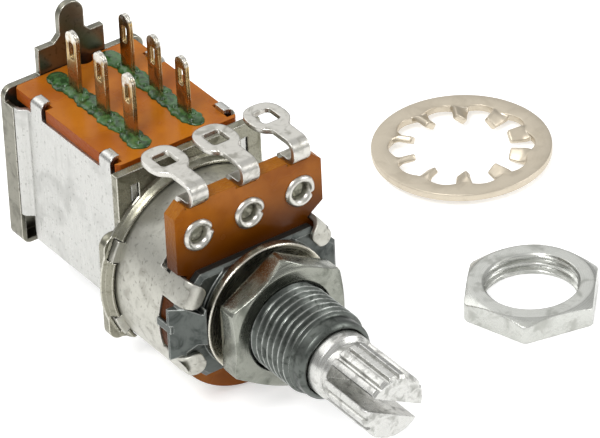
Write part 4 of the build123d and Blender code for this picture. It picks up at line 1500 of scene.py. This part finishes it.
@dataclass
class ResinBead:
    """Lumpy bead of resin poured along one row of terminals."""

    name: str
    low_x: float
    high_x: float
    start: float = 12.5
    end: float = 27.0
    round_off: float = 0.8
    spread: float = 0.12
    base_z: float = 10.24
    height: float = 0.35
    climb_mm: float = 0.75
    pit_depth: float = 0.36
    pit_spread: float = 0.02
    rows: int = 220
    columns: int = 36

    def build(self, finish: bpy.types.Material) -> None:
        """Makes the bead.

        Its half width and height wander with sums of sines, and both ends are rounded
        off. It climbs against each blade by a bell over the distance to it, and bells
        over the distance to a few spots press pits into it.

        Args:
            finish: Its material.
        """
        y = np.linspace(self.start, self.end, self.rows)
        seed = self.low_x
        wander = 0.1 * np.sin(1.7 * y + seed) + 0.07 * np.sin(3.9 * y + 2 * seed) + 0.04 * np.sin(8.3 * y)
        end = np.clip(np.minimum(y - self.start, self.end - y) / self.round_off, 0, 1)
        taper = np.sqrt(1 - (1 - end) ** 2) * 0.97 + 0.03
        half = ((self.high_x - self.low_x) / 2 + self.spread + wander) * taper
        centre = (self.low_x + self.high_x) / 2 + 0.08 * np.sin(1.1 * y + 3 * seed)
        turn = np.linspace(0, math.pi, self.columns)
        x = centre[:, None] - half[:, None] * np.cos(turn)
        broad = 0.08 * np.sin(3.3 * y)[:, None] * np.sin(2.6 * x)
        small = 0.05 * np.sin(7.1 * y + 1)[:, None] * np.sin(4.7 * x + 1)
        swell = sum(np.exp(-(((y - at) / self.climb_mm) ** 2)) for at in TERMINAL_Y)
        rise = self.height * (0.8 + 0.45 * swell) * taper
        z = self.base_z + rise[:, None] * np.sin(turn) ** 0.8 * (1 + broad + small)
        pits = np.zeros_like(z)
        for at in TERMINAL_Y:
            for side, back in ((-0.35, 1.05), (0.35, -0.9), (-0.35, -1.6)):
                spot = (x - centre.mean() - side) ** 2 + (y[:, None] - at - back) ** 2
                pits += np.exp(-spot / self.pit_spread)
        z = np.maximum(z - self.pit_depth * pits, self.base_z + 0.01)
        top = np.stack([x, y[:, None] + 0 * x, z], axis=-1)
        under = top[:, ::-1].copy()
        under[..., 2] = self.base_z - 0.05
        bead = capped(np.concatenate([top, under[:, 1:-1]], axis=1))
        make_piece(self.name, [bead], finish, "body", (self.name,), 60)


# Order of work


def plain_dress(frame: dict, finish: Metal | Laminate | Resin | Moulding, *names: str) -> None:
    """Gives CAD nodes that keep their shape a finish of their own.

    Args:
        frame: The loaded frame.
        finish: The finish.
        names: The nodes.
    """
    material = finish.build()
    for name in names:
        mesh = frame["nodes"][name].data
        mesh.materials.clear()
        mesh.materials.append(material)
        LOG.info("%s: dressed as %s", name, finish.name)


def main() -> None:
    """Builds the stage and every piece."""
    logging.basicConfig(level=logging.INFO, format="%(name)s: %(message)s")
    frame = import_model()
    Studio().build()
    finishes = Finishes()
    ThreadedBushing().dress(frame, finishes)
    plain_dress(frame, finishes.shaft, "shaft", "shaft_clip")
    Can().dress(frame, finishes.can.build())
    plain_dress(frame, finishes.plate, "switch_front_plate")
    plain_dress(frame, finishes.cover, "back_cover")
    plain_dress(frame, finishes.housing, "switch_housing")
    tinned = finishes.lug.build()
    for side, x in LUG_X.items():
        SolderLug("solder_lug_" + side, x).build(tinned)
    Eyelets().dress(tinned, finishes.solder.build())
    plain_dress(frame, finishes.rim_washer, "flat_washer")
    LockWasher().build(finishes.washer.build())
    HexNut("hex_nut", (0.0, -3.9, 0.0)).build(finishes.nut)
    HexNut("spare_nut", (*LOOSE_NUT_XY, FLOOR_Z), flat=True, flats_deg=17.7).build(finishes.loose_nut)
    plain_dress(frame, finishes.pot_board, "terminal_board")
    plain_dress(frame, finishes.switch_board, "switch_board")
    resin = finishes.resin.build()
    ResinBead("sealant_left", -3.35, -1.75).build(resin)
    ResinBead("sealant_right", 2.1, 3.6).build(resin)
    plain_dress(frame, finishes.rotor, "rotor")
    plain_dress(frame, finishes.slider, "switch_slider")
    plain_dress(frame, finishes.carbon, "resistive_track")
    plain_dress(frame, finishes.bronze, "wiper", "detent_spring", "bridge_contact_left",
                "bridge_contact_right", "collector_ring")
    blade = finishes.terminal.build()
    for side, x, top in (("left", -2.45, 16.3), ("right", 2.9, 15.85)):
        for number, y in enumerate(TERMINAL_Y, start=1):
            SwitchTerminal(f"switch_terminal_{side}_{number}", x, y, top).build(blade)


if __name__ == "__main__":
    main()
